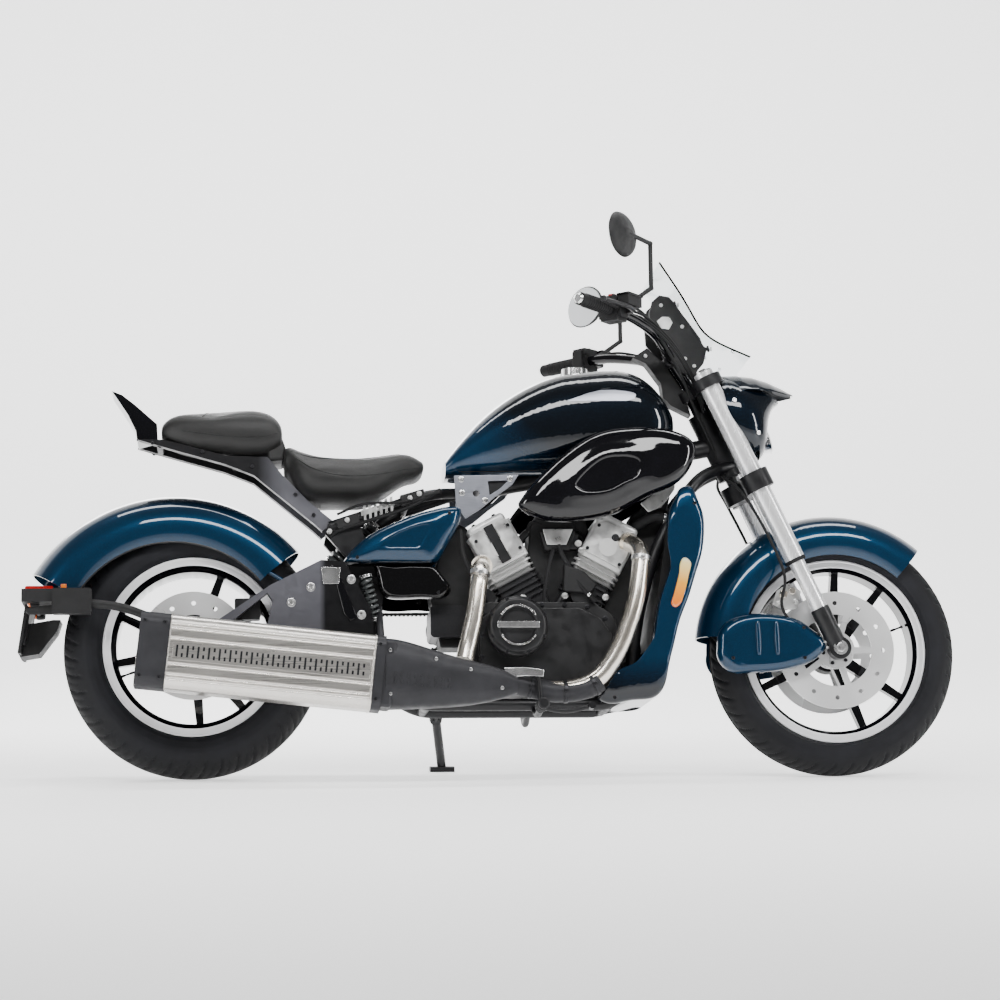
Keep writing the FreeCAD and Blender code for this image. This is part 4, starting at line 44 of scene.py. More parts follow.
# From the upright machine in millimetres (x forward of the rear axle, y left, z up)
# to the leaning frame in metres.
LEAN = (Matrix.Translation((-0.7826, -0.1733, 0.001079)) @ Matrix.Rotation(0.000194, 4, "Y")
        @ Matrix.Rotation(math.radians(-8), 4, "X") @ Matrix.Scale(MM, 4))
UPRIGHT = LEAN.inverted()
RAKE = math.radians(25)
STEER_UP = Vector((-math.sin(RAKE), 0, math.cos(RAKE)))
STEER_AHEAD = Vector((math.cos(RAKE), 0, math.sin(RAKE)))
FRONT_AXLE = Vector((1684, 0, 326.5))
REAR_AXLE = Vector((0, 0, 336))
CRANK = Vector((935, 0, 325))
CLUTCH = Vector((830, 0, 376))
FORK_HALF = 107
Y = Vector((0, 1, 0))
Z = Vector((0, 0, 1))
SIDES = (("right", -1), ("left", 1))


# ---------------------------------------------------------------- materials
class Shade:
    """One procedural material around a Principled shader."""

    def __init__(self, name, base, rough=0.5, metal=0.0, **sockets):
        self.mat = bpy.data.materials.new(name)
        self.mat.use_nodes = True
        self.tree = self.mat.node_tree
        self.tree.nodes.clear()
        self.out = self.node("OutputMaterial")
        self.bsdf = self.node("BsdfPrincipled", {"Base Color": (*base, 1), "Roughness": rough, "Metallic": metal})
        for socket, value in sockets.items():
            self.bsdf.inputs[socket.replace("_", " ")].default_value = value
        self.link(self.bsdf.outputs[0], self.out.inputs[0])
        self.place = self.node("TexCoord").outputs["Object"]
        self.relief = None

    def node(self, kind, inputs=None, **settings):
        """A shader node with its settings; an input is either linked or given a value."""
        made = self.tree.nodes.new("ShaderNode" + kind)
        for key, value in settings.items():
            setattr(made, key, value)
        for socket, value in (inputs or {}).items():
            if isinstance(value, bpy.types.NodeSocket):
                self.link(value, made.inputs[socket])
            else:
                made.inputs[socket].default_value = value
        return made

    def link(self, a, b):
        self.tree.links.new(a, b)

    def noise(self, scale, detail=3.0, stretch=None, roughness=0.5, turn=(0, 0, 0)):
        vector = self.place
        if stretch:
            vector = self.node("Mapping", {"Scale": stretch, "Rotation": turn, "Vector": vector}).outputs[0]
        return self.node("TexNoise", {"Scale": scale, "Detail": detail, "Roughness": roughness,
                                      "Vector": vector}).outputs[0]

    def cells(self, scale, feature="F1", output="Distance"):
        return self.node("TexVoronoi", {"Scale": scale, "Vector": self.place}, feature=feature).outputs[output]

    def ramp(self, factor, *stops):
        made = self.node("ValToRGB", {0: factor})
        while len(made.color_ramp.elements) < len(stops):
            made.color_ramp.elements.new(0.5)
        for element, (spot, colour) in zip(made.color_ramp.elements, stops):
            element.position = spot
            element.color = (*colour, 1)
        return made.outputs[0]

    def ranged(self, factor, low, high, start=0.0, end=1.0):
        return self.node("MapRange", {0: factor, "From Min": start, "From Max": end, "To Min": low,
                                      "To Max": high}).outputs[0]

    def along(self, start, end):
        """0 at start and 1 at end, both in millimetres on the upright machine."""
        a, b = LEAN @ Vector(start), LEAN @ Vector(end)
        step = (b - a) / (b - a).length_squared
        take = self.node("VectorMath", {0: self.place, 1: a}, operation="SUBTRACT")
        dot = self.node("VectorMath", {0: take.outputs[0], 1: step}, operation="DOT_PRODUCT")
        return self.ranged(dot.outputs["Value"], 0, 1)

    def reach(self, centre):
        """The distance from a point of the upright machine, in metres."""
        return self.node("VectorMath", {0: self.place, 1: LEAN @ centre}, operation="DISTANCE").outputs["Value"]

    def rings(self, reach, frequency):
        """Waves that run outwards with a distance."""
        fine = self.node("Math", {0: reach, 1: frequency}, operation="MULTIPLY")
        return self.node("Math", {0: fine.outputs[0]}, operation="SINE").outputs[0]

    def mix(self, factor, a, b):
        a, b = ((*value, 1) if isinstance(value, tuple) else value for value in (a, b))
        return self.node("Mix", {0: factor, 6: a, 7: b}, data_type="RGBA").outputs[2]

    def colour(self, output):
        self.link(output, self.bsdf.inputs["Base Color"])
        return self

    def rough(self, factor, low, high, start=0.3, end=0.7):
        self.link(self.ranged(factor, low, high, start, end), self.bsdf.inputs["Roughness"])
        return self

    def bump(self, height, strength, distance):
        inputs = {"Strength": strength, "Distance": distance, "Height": height}
        if self.relief:
            inputs["Normal"] = self.relief
        self.relief = self.node("Bump", inputs).outputs[0]
        self.link(self.relief, self.bsdf.inputs["Normal"])
        return self


def tint(base, share):
    return tuple(min(1, c * share) for c in base)


def flake_paint(name, dark, bright, start=None, end=None):
    """Metallic lacquer: fine flake under a clear coat, darker where the gradient says; that darker part is two-tone
    paint on the side covers, and painted shade and painted reflection on the tank, fenders and cowl.
    """
    shade = Shade(name, bright, 0.34, 0.55, Coat_Weight=1.0, Coat_Roughness=0.03, Specular_IOR_Level=0.0)
    spark = shade.node("SeparateColor", {0: shade.cells(1500, output="Color")})
    tone = shade.ramp(spark.outputs[0], (0.0, tint(bright, 0.72)), (0.8, bright), (1.0, tint(bright, 1.5)))
    tone = shade.mix(shade.ranged(shade.noise(3.0, 2), 0.0, 0.35, 0.35, 0.7), tone, tint(bright, 0.6))
    if start:
        tone = shade.mix(shade.along(start, end), tone, dark)
    shade.colour(tone).rough(spark.outputs[1], 0.28, 0.42, 0, 1)
    return shade.bump(shade.noise(420, 1), 0.05, 0.0006).mat


def coated(name, base, rough, grain=700, strength=0.12, metal=0.0, coat=0.0, variation=0.25):
    """Paint, powder coat or moulding with a fine even grain and uneven sheen."""
    shade = Shade(name, base, rough, metal, Coat_Weight=coat, Coat_Roughness=0.04,
                  Specular_IOR_Level=0.0 if coat > 0.7 else 0.35)
    shade.colour(shade.ramp(shade.noise(14, 4), (0.3, tint(base, 1 - variation)), (0.7, tint(base, 1 + variation))))
    shade.rough(shade.noise(45, 5), max(0.03, rough - 0.08), min(1, rough + 0.1))
    return shade.bump(shade.noise(grain, 3), strength, 0.0004).mat


def brushed(name, base, rough, stretch, turn=(0, 0, 0), strength=0.04, stain=None, spread=0.07, metal=1.0):
    """Metal worked in one direction, with fine scratches and slow tone changes."""
    shade = Shade(name, base, rough, metal)
    lines = shade.noise(1.0, 4, stretch, 0.6, turn)
    tone = shade.ramp(lines, (0.3, tint(base, 1 - spread)), (0.7, tint(base, 1 + spread)))
    shade.colour(shade.mix(shade.ranged(shade.noise(7, 2), 0, 0.6, 0.45, 0.75), tone, stain or tint(base, 0.88)))
    shade.rough(lines, max(0.02, rough - spread * 0.5), rough + spread)
    return shade.bump(lines, strength, 0.0002).mat


def two_metal(name, base, dark, start, end):
    """Grey alloy that is black-coated beyond a line."""
    shade = Shade(name, base, 0.42, 0.5, Specular_IOR_Level=0.3)
    grain = shade.ramp(shade.noise(9, 3), (0.35, tint(base, 0.86)), (0.7, base))
    shade.colour(shade.mix(shade.along(start, end), grain, dark))
    return shade.rough(shade.noise(60, 4), 0.34, 0.5).bump(shade.noise(500, 3), 0.08, 0.0003).mat


def turned(name, base, rough, centre):
    """Metal faced on a lathe: rings of 1.1 mm about a wheel centre."""
    shade = Shade(name, base, rough, 0.55)
    rings = shade.rings(shade.reach(centre), math.tau / 0.0011)
    cloud = shade.noise(6, 2)
    tone = shade.ramp(cloud, (0.35, tint(base, 0.9)), (0.65, base))
    shade.colour(shade.mix(shade.ranged(rings, 0, 0.25, -1, 1), tone, tint(base, 0.8)))
    return shade.rough(cloud, rough - 0.04, rough + 0.06).bump(rings, 0.04, 0.0002).mat


def cast(name, base, rough=0.42, metal=0.9):
    """Sand-cast or vapour-blasted alloy: small pits and darker blotches at random."""
    shade = Shade(name, base, rough, metal)
    cloud = shade.noise(30, 4)
    shade.colour(shade.ramp(cloud, (0.32, tint(base, 0.7)), (0.62, base)))
    shade.rough(cloud, rough - 0.08, rough + 0.14)
    return shade.bump(shade.cells(1100), 0.12, 0.0004).bump(shade.noise(240, 4), 0.12, 0.0006).mat


def leather(name):
    """Creases between small cells, with a finer grain over them."""
    shade = Shade(name, (0.006, 0.006, 0.006), 0.42, 0.0, Sheen_Weight=0.03, Specular_IOR_Level=0.4)
    cloud = shade.noise(10, 4)
    shade.colour(shade.ramp(cloud, (0.3, (0.004, 0.004, 0.004)), (0.7, (0.009, 0.0088, 0.0085))))
    shade.rough(cloud, 0.38, 0.56)
    crease = shade.ramp(shade.cells(330, "DISTANCE_TO_EDGE"), (0.0, (0, 0, 0)), (0.16, (1, 1, 1)))
    return shade.bump(crease, 0.3, 0.0005).bump(shade.noise(1200, 3), 0.08, 0.0003).mat


def rubber(name, base=(0.006, 0.006, 0.0065), rough=0.68, dust=(0.014, 0.014, 0.015)):
    shade = Shade(name, base, rough, Specular_IOR_Level=0.25)
    cloud = shade.noise(12, 5)
    shade.colour(shade.ramp(cloud, (0.35, base), (0.75, dust)))
    return shade.rough(cloud, rough - 0.12, rough + 0.12).bump(shade.noise(900, 3), 0.15, 0.0004).mat


def tyre_rubber(name, centre, crown):
    """Black tread running into a lighter, greyer side wall with fine moulded rings."""
    shade = Shade(name, (0.016, 0.016, 0.017), 0.7, Specular_IOR_Level=0.18)
    reach = shade.reach(centre)
    wall = shade.ranged(reach, 1.0, 0.0, crown - 0.045, crown - 0.004)
    cloud = shade.noise(16, 5)
    tread = shade.ramp(cloud, (0.35, (0.004, 0.004, 0.0045)), (0.75, (0.009, 0.009, 0.010)))
    side = shade.ramp(cloud, (0.35, (0.0065, 0.0068, 0.0085)), (0.75, (0.014, 0.0145, 0.0175)))
    shade.colour(shade.mix(wall, tread, side)).rough(cloud, 0.55, 0.8)
    return shade.bump(shade.rings(reach, 2600), 0.12, 0.0004).bump(shade.noise(900, 3), 0.12, 0.0004).mat


def glass(name, base, rough=0.02, weight=1.0, ior=1.46):
    shade = Shade(name, base, rough, 0.0, IOR=ior, Transmission_Weight=weight)
    shade.bump(shade.noise(18, 2), 0.02, 0.0005)
    return shade.rough(shade.noise(22, 5), rough, rough + 0.05, 0.45, 0.8).mat


def lamp_reflector(name):
    """Bright bowl with a fine bumped cell pattern."""
    shade = Shade(name, (0.9, 0.9, 0.92), 0.12, 1.0)
    shade.colour(shade.ramp(shade.noise(60, 2), (0.3, (0.82, 0.82, 0.84)), (0.7, (0.96, 0.96, 0.97))))
    return shade.bump(shade.cells(160), 0.35, 0.0008).mat


def amber_lens(name):
    """Ribbed lens, pale yellow above running to deep orange below."""
    shade = Shade(name, (0.9, 0.4, 0.03), 0.16, 0.0, Coat_Weight=0.8, Coat_Roughness=0.05, IOR=1.5,
                  Subsurface_Weight=0.25)
    shade.colour(shade.ramp(shade.along((1240, 0, 432), (1282, 0, 560)), (0.0, (0.80, 0.16, 0.01)),
                            (0.45, (0.85, 0.36, 0.03)), (0.85, (0.86, 0.66, 0.30)), (1.0, (0.80, 0.78, 0.66))))
    ribs = shade.noise(1.0, 1, (2, 2, 420))
    return shade.rough(ribs, 0.10, 0.22, 0.35, 0.65).bump(ribs, 0.25, 0.0008).mat


BLUE = (0.003, 0.029, 0.068)
# A darker blue, painted in as shade and reflection on the fenders and cowl.
PAINTED_SHADE_BLUE = (0.0015, 0.003, 0.006)
M = {
    "blue": flake_paint("petrol_blue_lacquer", PAINTED_SHADE_BLUE, BLUE),
    # The rear fender, tank and front fender are painted darker towards the top: painted shade and a painted reflection
    # of a dark overhead.
    "blue_fender": flake_paint("fender_lacquer", PAINTED_SHADE_BLUE, BLUE, (0, 0, 660), (0, 0, 730)),
    "blue_tank": flake_paint("tank_lacquer", (0.002, 0.004, 0.007), BLUE, (760, 0, 810), (860, 0, 930)),
    "blue_front": flake_paint("front_fender_lacquer", PAINTED_SHADE_BLUE, BLUE, (1684, 0, 640), (1684, 0, 690)),
    "navy": flake_paint("navy_lacquer", (0, 0, 0), (0.002, 0.006, 0.012)),
    "gloss_black": coated("piano_black", (0.002, 0.002, 0.003), 0.12, 90, 0.0, coat=1.0),
    "rim_ring": brushed("machined_rim_ring", (0.93, 0.93, 0.95), 0.30, (40, 40, 40), strength=0.0,
                        spread=0.03, metal=0.45),
    # The cowl is painted darker towards its underside: painted shade under it.
    "belly": flake_paint("cowl_lacquer", PAINTED_SHADE_BLUE, BLUE, (1180, 0, 300), (1180, 0, 215)),
    "two_tone": flake_paint("side_cover_lacquer", (0.002, 0.002, 0.0025), BLUE, (500, 0, 556), (500, 0, 545)),
    "lamp_glow": lamp_reflector("chromed_reflector"),
    "amber": amber_lens("amber_lens"),
    "dark_glass": coated("dial_glass", (0.002, 0.002, 0.0025), 0.08, 60, 0.0, coat=1.0),
    "black": coated("satin_black_coat", (0.005, 0.005, 0.006), 0.40, 650, 0.10),
    "black_cast": cast("black_cast_alloy", (0.007, 0.007, 0.008), 0.4, 0.2),
    "plastic": coated("moulded_black", (0.006, 0.006, 0.0065), 0.55, 520, 0.22),
    "shield": coated("graphite_heat_paint", (0.022, 0.022, 0.025), 0.5, 480, 0.14, metal=0.3),
    "silver": cast("vapour_blasted_alloy", (0.72, 0.72, 0.71), 0.34),
    "polished": brushed("polished_alloy", (0.86, 0.86, 0.86), 0.2, (30, 90, 30)),
    "plate_alloy": brushed("plate_alloy", (0.30, 0.31, 0.35), 0.36, (40, 400, 400)),
    "fork": brushed("fork_alloy", (0.90, 0.90, 0.91), 0.26, (90, 90, 4), (0, RAKE, 0), strength=0.0,
                    spread=0.03, metal=0.6),
    "stainless": brushed("muffler_stainless", (0.72, 0.69, 0.65), 0.28, (6, 500, 500), (0, math.radians(-6), 0)),
    "header": brushed("header_stainless", (0.80, 0.75, 0.67), 0.24, (20, 20, 20), strength=0.0,
                      stain=(0.66, 0.58, 0.47), spread=0.04),
    "steel": brushed("machined_steel", (0.60, 0.60, 0.60), 0.28, (160, 160, 160)),
    "dark_steel": brushed("oxide_steel", (0.04, 0.04, 0.043), 0.4, (200, 200, 200)),
    "disc": turned("front_disc_steel", (0.86, 0.86, 0.86), 0.3, FRONT_AXLE),
    "disc_rear": turned("rear_disc_steel", (0.80, 0.80, 0.80), 0.3, REAR_AXLE),
    "leather": leather("grained_black_leather"),
    "thread": coated("seam_thread", (0.012, 0.012, 0.012), 0.7, 1600, 0.3),
    "tyre": rubber("tyre_compound", (0.005, 0.005, 0.0055), 0.7, (0.012, 0.012, 0.013)),
    "tyre_rear": tyre_rubber("rear_tyre_rubber", REAR_AXLE, 0.336),
    "tyre_front": tyre_rubber("front_tyre_rubber", FRONT_AXLE, 0.3265),
    "rubber": rubber("black_rubber"),
    "clear": glass("screen_acrylic", (0.80, 0.83, 0.84), ior=1.12),
    "lens": glass("lamp_lens", (0.92, 0.95, 0.97)),
    "mirror": brushed("mirror_glass", (0.88, 0.90, 0.92), 0.18, (4, 4, 4), strength=0.0,
                      spread=0.02, metal=0.35),
    "rail": two_metal("tail_rail_alloy", (0.115, 0.115, 0.13), (0.008, 0.008, 0.009), (240, 0, 0), (165, 0, 0)),
    "arm": two_metal("swingarm_alloy", (0.105, 0.105, 0.12), (0.006, 0.006, 0.007), (322, 0, 0), (338, 0, 0)),
    "barrel_front": two_metal("front_barrel_alloy", (0.70, 0.70, 0.69), (0.035, 0.035, 0.037),
                              (1048, 0, 537), (1034, 0, 511)),
    "barrel_rear": two_metal("rear_barrel_alloy", (0.70, 0.70, 0.69), (0.035, 0.035, 0.037),
                             (822, 0, 537), (836, 0, 511)),
    "red": glass("red_lens", (0.55, 0.012, 0.012), 0.12, weight=0.45),
    "red_paint": coated("red_switch", (0.45, 0.012, 0.01), 0.35, 500, 0.08),
    "white": coated("bare_plate", (0.62, 0.62, 0.60), 0.38, 420, 0.05, variation=0.05),
    "spring": coated("spring_enamel", (0.060, 0.066, 0.066), 0.3, 400, 0.05, coat=0.5),
}


# The slot of each material whose slot has another name.
SLOTS = {"black": "black_metal", "blue": "blue_paint", "dark_glass": "black_gloss", "dark_steel": "steel",
         "gloss_black": "black_gloss", "header": "stainless", "lamp_glow": "mirror", "navy": "dark_paint",
         "plastic": "black_plastic", "plate_alloy": "silver", "polished": "silver", "red_paint": "red",
         "rim_ring": "steel", "shield": "dark_shield", "spring": "grey_metal", "thread": "leather",
         "tyre_front": "tyre", "tyre_rear": "tyre", "white": "blank_plate"}


# ---------------------------------------------------------------- mesh tools
def grid(rows, cols, wrap_rows=False, wrap_cols=False):
    """Faces between rows of points, closed into a ring where asked."""
    faces = []
    for n in range(rows if wrap_rows else rows - 1):
        for k in range(cols if wrap_cols else cols - 1):
            m, j = (n + 1) % rows, (k + 1) % cols
            faces.append((n * cols + k, n * cols + j, m * cols + j, m * cols + k))
    return faces


def slab(rows, cols):
    """Faces of a plate: a grid of points, the same grid below it, and the rim between them."""
    count, top = rows * cols, grid(rows, cols)
    rim = (list(range(cols)) + [r * cols + cols - 1 for r in range(1, rows)]
           + [(rows - 1) * cols + c for c in range(cols - 2, -1, -1)] + [r * cols for r in range(rows - 2, 0, -1)])
    return (top + [tuple(count + i for i in reversed(face)) for face in top]
            + [(a, b, b + count, a + count) for a, b in zip(rim, rim[1:] + rim[:1])])


def polar(angle, radius=1.0):
    """Out from a wheel's centre, across the machine's middle plane."""
    return Vector((radius * math.cos(angle), 0, radius * math.sin(angle)))


def axes(axis):
    """A direction and two more that are square to it."""
    axis = Vector(axis).normalized()
    side = axis.orthogonal().normalized()
    return axis, side, axis.cross(side)


def facing(spot, ahead, up):
    """A place at spot, with its own x ahead and its own z up."""
    return Matrix.Translation(spot) @ Matrix((ahead, up.cross(ahead), up)).transposed().to_4x4()


def ring(out, inner, low, high, ease=0.8):
    """The section of a band between two radii, with its outer edges eased."""
    return [(inner, low), (out - ease, low), (out, low + ease), (out, high - ease), (out - ease, high),
            (inner, high), (inner, low)]


class Piece:
    """Collects faces in millimetres on the upright machine and makes one object of them."""

    def __init__(self, name, material, body="chassis", slot=None):
        self.name, self.material, self.body = name, material, body
        self.slot = slot or SLOTS.get(material, material)
        self.verts, self.faces = [], []

    def add(self, verts, faces, place=None):
        base = len(self.verts)
        self.verts += [(place @ Vector(v)) if place else Vector(v) for v in verts]
        self.faces += [tuple(base + i for i in face) for face in faces]
        return self

    def lathe(self, profile, centre, axis, steps=48):
        """profile is (out, along) pairs about the axis through centre."""
        axis, side, other = axes(axis)
        verts = []
        for n in range(steps):
            a = math.tau * n / steps
            ray = side * math.cos(a) + other * math.sin(a)
            verts += [Vector(centre) + ray * out + axis * along for out, along in profile]
        count = len(profile)
        faces = grid(steps, count, wrap_rows=True)
        if profile[0] != profile[-1]:
            faces += [tuple(range(i, len(verts), count)) for i in (0, count - 1) if profile[i][0] > 1e-6]
        return self.add(verts, faces)

    def knob(self, centre, axis, radius, length, steps=32):
        """A turned boss with eased edges, from centre along axis."""
        e = min(radius, length) * 0.22
        return self.lathe([(0.0, 0), (radius - e, 0), (radius, e), (radius, length - e),
                           (radius - e, length), (0.0, length)], centre, axis, steps)

    def bolt(self, centre, axis, radius=5.5, height=5.0):
        """Hexagon head on a flanged washer, with a chamfered top."""
        self.lathe([(0.0, -1), (radius * 1.45, -1), (radius * 1.45, 0.9), (radius * 1.2, 1.5), (0.0, 1.5)],
                   centre, axis, 24)
        return self.lathe([(0.0, 1.2), (radius, 1.2), (radius, height - 0.9), (radius * 0.82, height),
                           (radius * 0.4, height), (radius * 0.35, height - 1), (0.0, height - 1)], centre, axis, 6)

    def socket(self, centre, axis, radius=5.0, height=5.0):
        """Cap head screw with its socket."""
        return self.lathe([(0.0, -1), (radius, -1), (radius, height - 1), (radius - 1, height),
                           (radius * 0.55, height), (radius * 0.5, height - 2.4), (0.0, height - 2.4)],
                          centre, axis, 18)

    def circle(self, make, centre, axis, radius, count, start, *size):
        """The same screw all round a circle."""
        for n in range(count):
            make(self, Vector(centre) + polar(math.tau * n / count + start, radius), axis, *size)
        return self

    def heads(self, make, spots, *size):
        """The same bolts, screws or bosses on both sides, each facing outwards."""
        for side in (-1, 1):
            for x, y, z in spots:
                make(self, (x, y * side, z), Y * side, *size)
        return self

    def pipe(self, points, radius, sides=12, per=8, taper=None):
        """A tube that passes smoothly through the points."""
        path = smooth_path([Vector(p) for p in points], per)
        verts = []
        up = None
        for n, spot in enumerate(path):
            ahead = (path[min(n + 1, len(path) - 1)] - path[max(n - 1, 0)]).normalized()
            up = ahead.orthogonal() if up is None else up - ahead * up.dot(ahead)
            up.normalize()
            other = ahead.cross(up)
            r = radius if taper is None else radius * taper(n / (len(path) - 1))
            for k in range(sides):
                a = math.tau * k / sides
                verts.append(spot + (up * math.cos(a) + other * math.sin(a)) * r)
        ends = [tuple(reversed(range(sides))), tuple(range(len(verts) - sides, len(verts)))]
        return self.add(verts, grid(len(path), sides, wrap_cols=True) + ends)

    def pipes(self, points, *form):
        """The same tube on both sides."""
        for side in (-1, 1):
            self.pipe([(x, y * side, z) for x, y, z in points], *form)
        return self

    def prism(self, outline, near, far, place=None):
        """An outline in x and z carried across y from near to far."""
        count = len(outline)
        verts = [(a, near, b) for a, b in outline] + [(a, far, b) for a, b in outline]
        faces = [tuple(reversed(range(count))), tuple(range(count, 2 * count))]
        faces += [(n, (n + 1) % count, (n + 1) % count + count, n + count) for n in range(count)]
        return self.add(verts, faces, place)

    def both(self, outline, near, far, place=None):
        """The same prism on the right and on the left."""
        for side in (-1, 1):
            self.prism(outline, *sorted((near * side, far * side)), place)
        return self

    def box(self, low, high, place=None):
        (a, b, c), (d, e, f) = low, high
        verts = [(a, b, c), (d, b, c), (d, e, c), (a, e, c), (a, b, f), (d, b, f), (d, e, f), (a, e, f)]
        faces = [(3, 2, 1, 0), (4, 5, 6, 7), (0, 1, 5, 4), (1, 2, 6, 5), (2, 3, 7, 6), (3, 0, 4, 7)]
        return self.add(verts, faces, place)

    def done(self, bevel=0.0, angle=35, replaces=()):
        if not self.verts:
            return
        mesh = bpy.data.meshes.new(self.name)
        mesh.from_pydata([tuple(v) for v in self.verts], [], self.faces)
        mesh.transform(LEAN)
        work = bmesh.new()
        work.from_mesh(mesh)
        bmesh.ops.remove_doubles(work, verts=work.verts, dist=1e-6)
        bmesh.ops.recalc_face_normals(work, faces=work.faces)
        work.to_mesh(mesh)
        work.free()
        made = bpy.data.objects.new(self.name, mesh)
        bpy.context.collection.objects.link(made)
        mesh.materials.append(M[self.material])
        dress(made, bevel, angle)
        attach(made, self.body)
        if replaces:
            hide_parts(*replaces)


def smooth_path(points, per):
    """Catmull-Rom points through the given ones."""
    if len(points) < 3:
        return [points[0].lerp(points[-1], n / per) for n in range(per + 1)]
    spots = [points[0] * 2 - points[1]] + points + [points[-1] * 2 - points[-2]]
    path = []
    for n in range(1, len(spots) - 2):
        a, b, c, d = spots[n - 1:n + 3]
        for k in range(per):
            t = k / per
            path.append(0.5 * ((2 * b) + (c - a) * t + (2 * a - 5 * b + 4 * c - d) * t * t
                               + (3 * b - a - 3 * c + d) * t ** 3))
    return path + [points[-1]]


def ease_edges(item, bevel, angle):
    if bevel:
        edge = item.modifiers.new("eased_edges", "BEVEL")
        edge.width, edge.segments = bevel * MM, 2
        edge.limit_method, edge.angle_limit = "ANGLE", math.radians(angle)


def smooth_faces(item):
    item.modifiers.new("weighted", "WEIGHTED_NORMAL").keep_sharp = True
    item.data.polygons.foreach_set("use_smooth", [True] * len(item.data.polygons))


def dress(item, bevel, angle):
    """Soft edges and smooth shading by modifiers, with the sharp edges marked."""
    ease_edges(item, bevel, angle)
    smooth_faces(item)
    work = bmesh.new()
    work.from_mesh(item.data)
    sharp = [len(line.link_faces) == 2 and line.calc_face_angle(0) >= math.radians(angle) for line in work.edges]
    work.free()
    layer = item.data.attributes.get("sharp_edge") or item.data.attributes.new("sharp_edge", "BOOLEAN", "EDGE")
    layer.data.foreach_set("value", sharp)


def dress_node(name, material, bevel):
    """A CAD node keeps its mesh and gets its material, welded edges and smooth shading."""
    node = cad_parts[name]
    node.data.materials.clear()
    node.data.materials.append(M[material])
    node.modifiers.new("weld", "WELD").merge_threshold = 0.00002
    ease_edges(node, bevel, 30)
    node.modifiers.new("creases", "EDGE_SPLIT").split_angle = math.radians(35)
    smooth_faces(node)


def surface_tree(item):
    """For dropping seams and trim on to a finished surface."""
    shape = item.evaluated_get(bpy.context.evaluated_depsgraph_get())
    mesh = shape.to_mesh()
    tree = BVHTree.FromPolygons([UPRIGHT @ (item.matrix_world @ v.co) for v in mesh.vertices],
                                [tuple(p.vertices) for p in mesh.polygons])
    shape.to_mesh_clear()
    return tree


def node_tree(name):
    return surface_tree(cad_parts[name])


def hits(tree, rays):
    """Where rays of a start and a direction land, with the normal there; a ray that misses is left out."""
    found = [tree.ray_cast(Vector(start), Vector(direction).normalized())[:2] for start, direction in rays]
    return [(spot, normal) for spot, normal in found if spot is not None]


def inwards(side, spots):
    """Rays from one side, at points in x and z."""
    return [((x, 500 * side, z), -Y * side) for x, z in spots]


def downwards(spots):
    return [((x, y, 1100), -Z) for x, y in spots]


def fork_spot(ahead, up, side=0.0):
    """A point in the steering frame: its origin is the front axle, up along the legs."""
    return FRONT_AXLE + STEER_AHEAD * ahead + STEER_UP * up + Y * side


def up_fork(z):
    return (z - FRONT_AXLE.z) / math.cos(RAKE)


# ---------------------------------------------------------------- camera and studio
def studio():
    def placed(name, data, spot, direction):
        item = bpy.data.objects.new(name, data)
        bpy.context.collection.objects.link(item)
        item.location = spot
        item.rotation_mode = "QUATERNION"
        item.rotation_quaternion = Vector(direction).to_track_quat("-Z", "Y")
        return item

    camera = placed("camera", bpy.data.cameras.new("camera"), (-0.6656, -7.6383, 0.4761), (0.0906, 0.9953, 0.0335))
    camera.data.sensor_width = 36
    camera.data.lens = 103.08
    camera.data.clip_start, camera.data.clip_end = 0.5, 60
    bpy.context.scene.camera = camera

    size = 14
    floor = bpy.data.objects.new("studio_floor", bpy.data.meshes.new("studio_floor"))
    profile = [(-size, 0.0), (3.2, 0.0), (4.2, 0.18), (4.9, 0.8), (5.2, 1.8), (5.2, 9.0)]
    verts = [(x, y, z) for x in (size, -size) for y, z in profile]
    floor.data.from_pydata(verts, [], grid(2, len(profile)))
    bpy.context.collection.objects.link(floor)
    floor.data.polygons.foreach_set("use_smooth", [True] * len(floor.data.polygons))
    pale = Shade("studio_white", (0.86, 0.86, 0.86), 0.75, Specular_IOR_Level=0.2, Emission_Color=(1, 1, 1, 1),
                 Emission_Strength=0.9)
    pale.colour(pale.ramp(pale.noise(0.4, 2), (0.3, (0.85, 0.85, 0.85)), (0.7, (0.88, 0.88, 0.88))))
    # Seen from behind or below, the backdrop lets the camera through.
    blend = pale.node("MixShader", {0: pale.node("NewGeometry").outputs["Backfacing"], 1: pale.bsdf.outputs[0],
                                    2: pale.node("BsdfTransparent").outputs[0]})
    pale.link(blend.outputs[0], pale.out.inputs["Surface"])
    floor.data.materials.append(pale.mat)

    world = bpy.data.worlds.new("studio")
    bpy.context.scene.world = world
    world.use_nodes = True
    tree = world.node_tree
    sky, ray = tree.nodes["Background"], tree.nodes.new("ShaderNodeLightPath")
    sky.inputs[0].default_value = (1, 1, 1, 1)
    # The strength of the world as a light, and as the camera sees it.
    bright = tree.nodes.new("ShaderNodeMapRange")
    bright.inputs["To Min"].default_value, bright.inputs["To Max"].default_value = 0.16, 1.7
    tree.links.new(ray.outputs["Is Camera Ray"], bright.inputs[0])
    tree.links.new(bright.outputs[0], sky.inputs[1])

    for name, spot, target, size_x, size_y, power in (
            ("key", (0.4, -2.6, 3.0), (0, 0, 0.5), 3.6, 0.5, 120),
            ("rear_strip", (-3.4, -2.4, 1.3), (-0.4, 0, 0.6), 0.4, 2.4, 60),
            ("front_strip", (3.8, -1.8, 1.5), (0.4, 0, 0.6), 0.4, 2.4, 75),
            ("top", (0, 0.4, 3.6), (0, 0, 0.4), 4.2, 0.5, 90),
            ("left", (-1.0, 3.6, 2.2), (0, 0, 0.5), 2.8, 0.8, 70),
            ("backdrop", (0, 2.2, 3.4), (0, 5.2, 1.4), 9.0, 1.6, 300)):
        light = bpy.data.lights.new(name, "AREA")
        light.shape, light.size, light.size_y, light.energy = "RECTANGLE", size_x, size_y, power
        placed(name, light, spot, Vector(target) - Vector(spot))


studio()


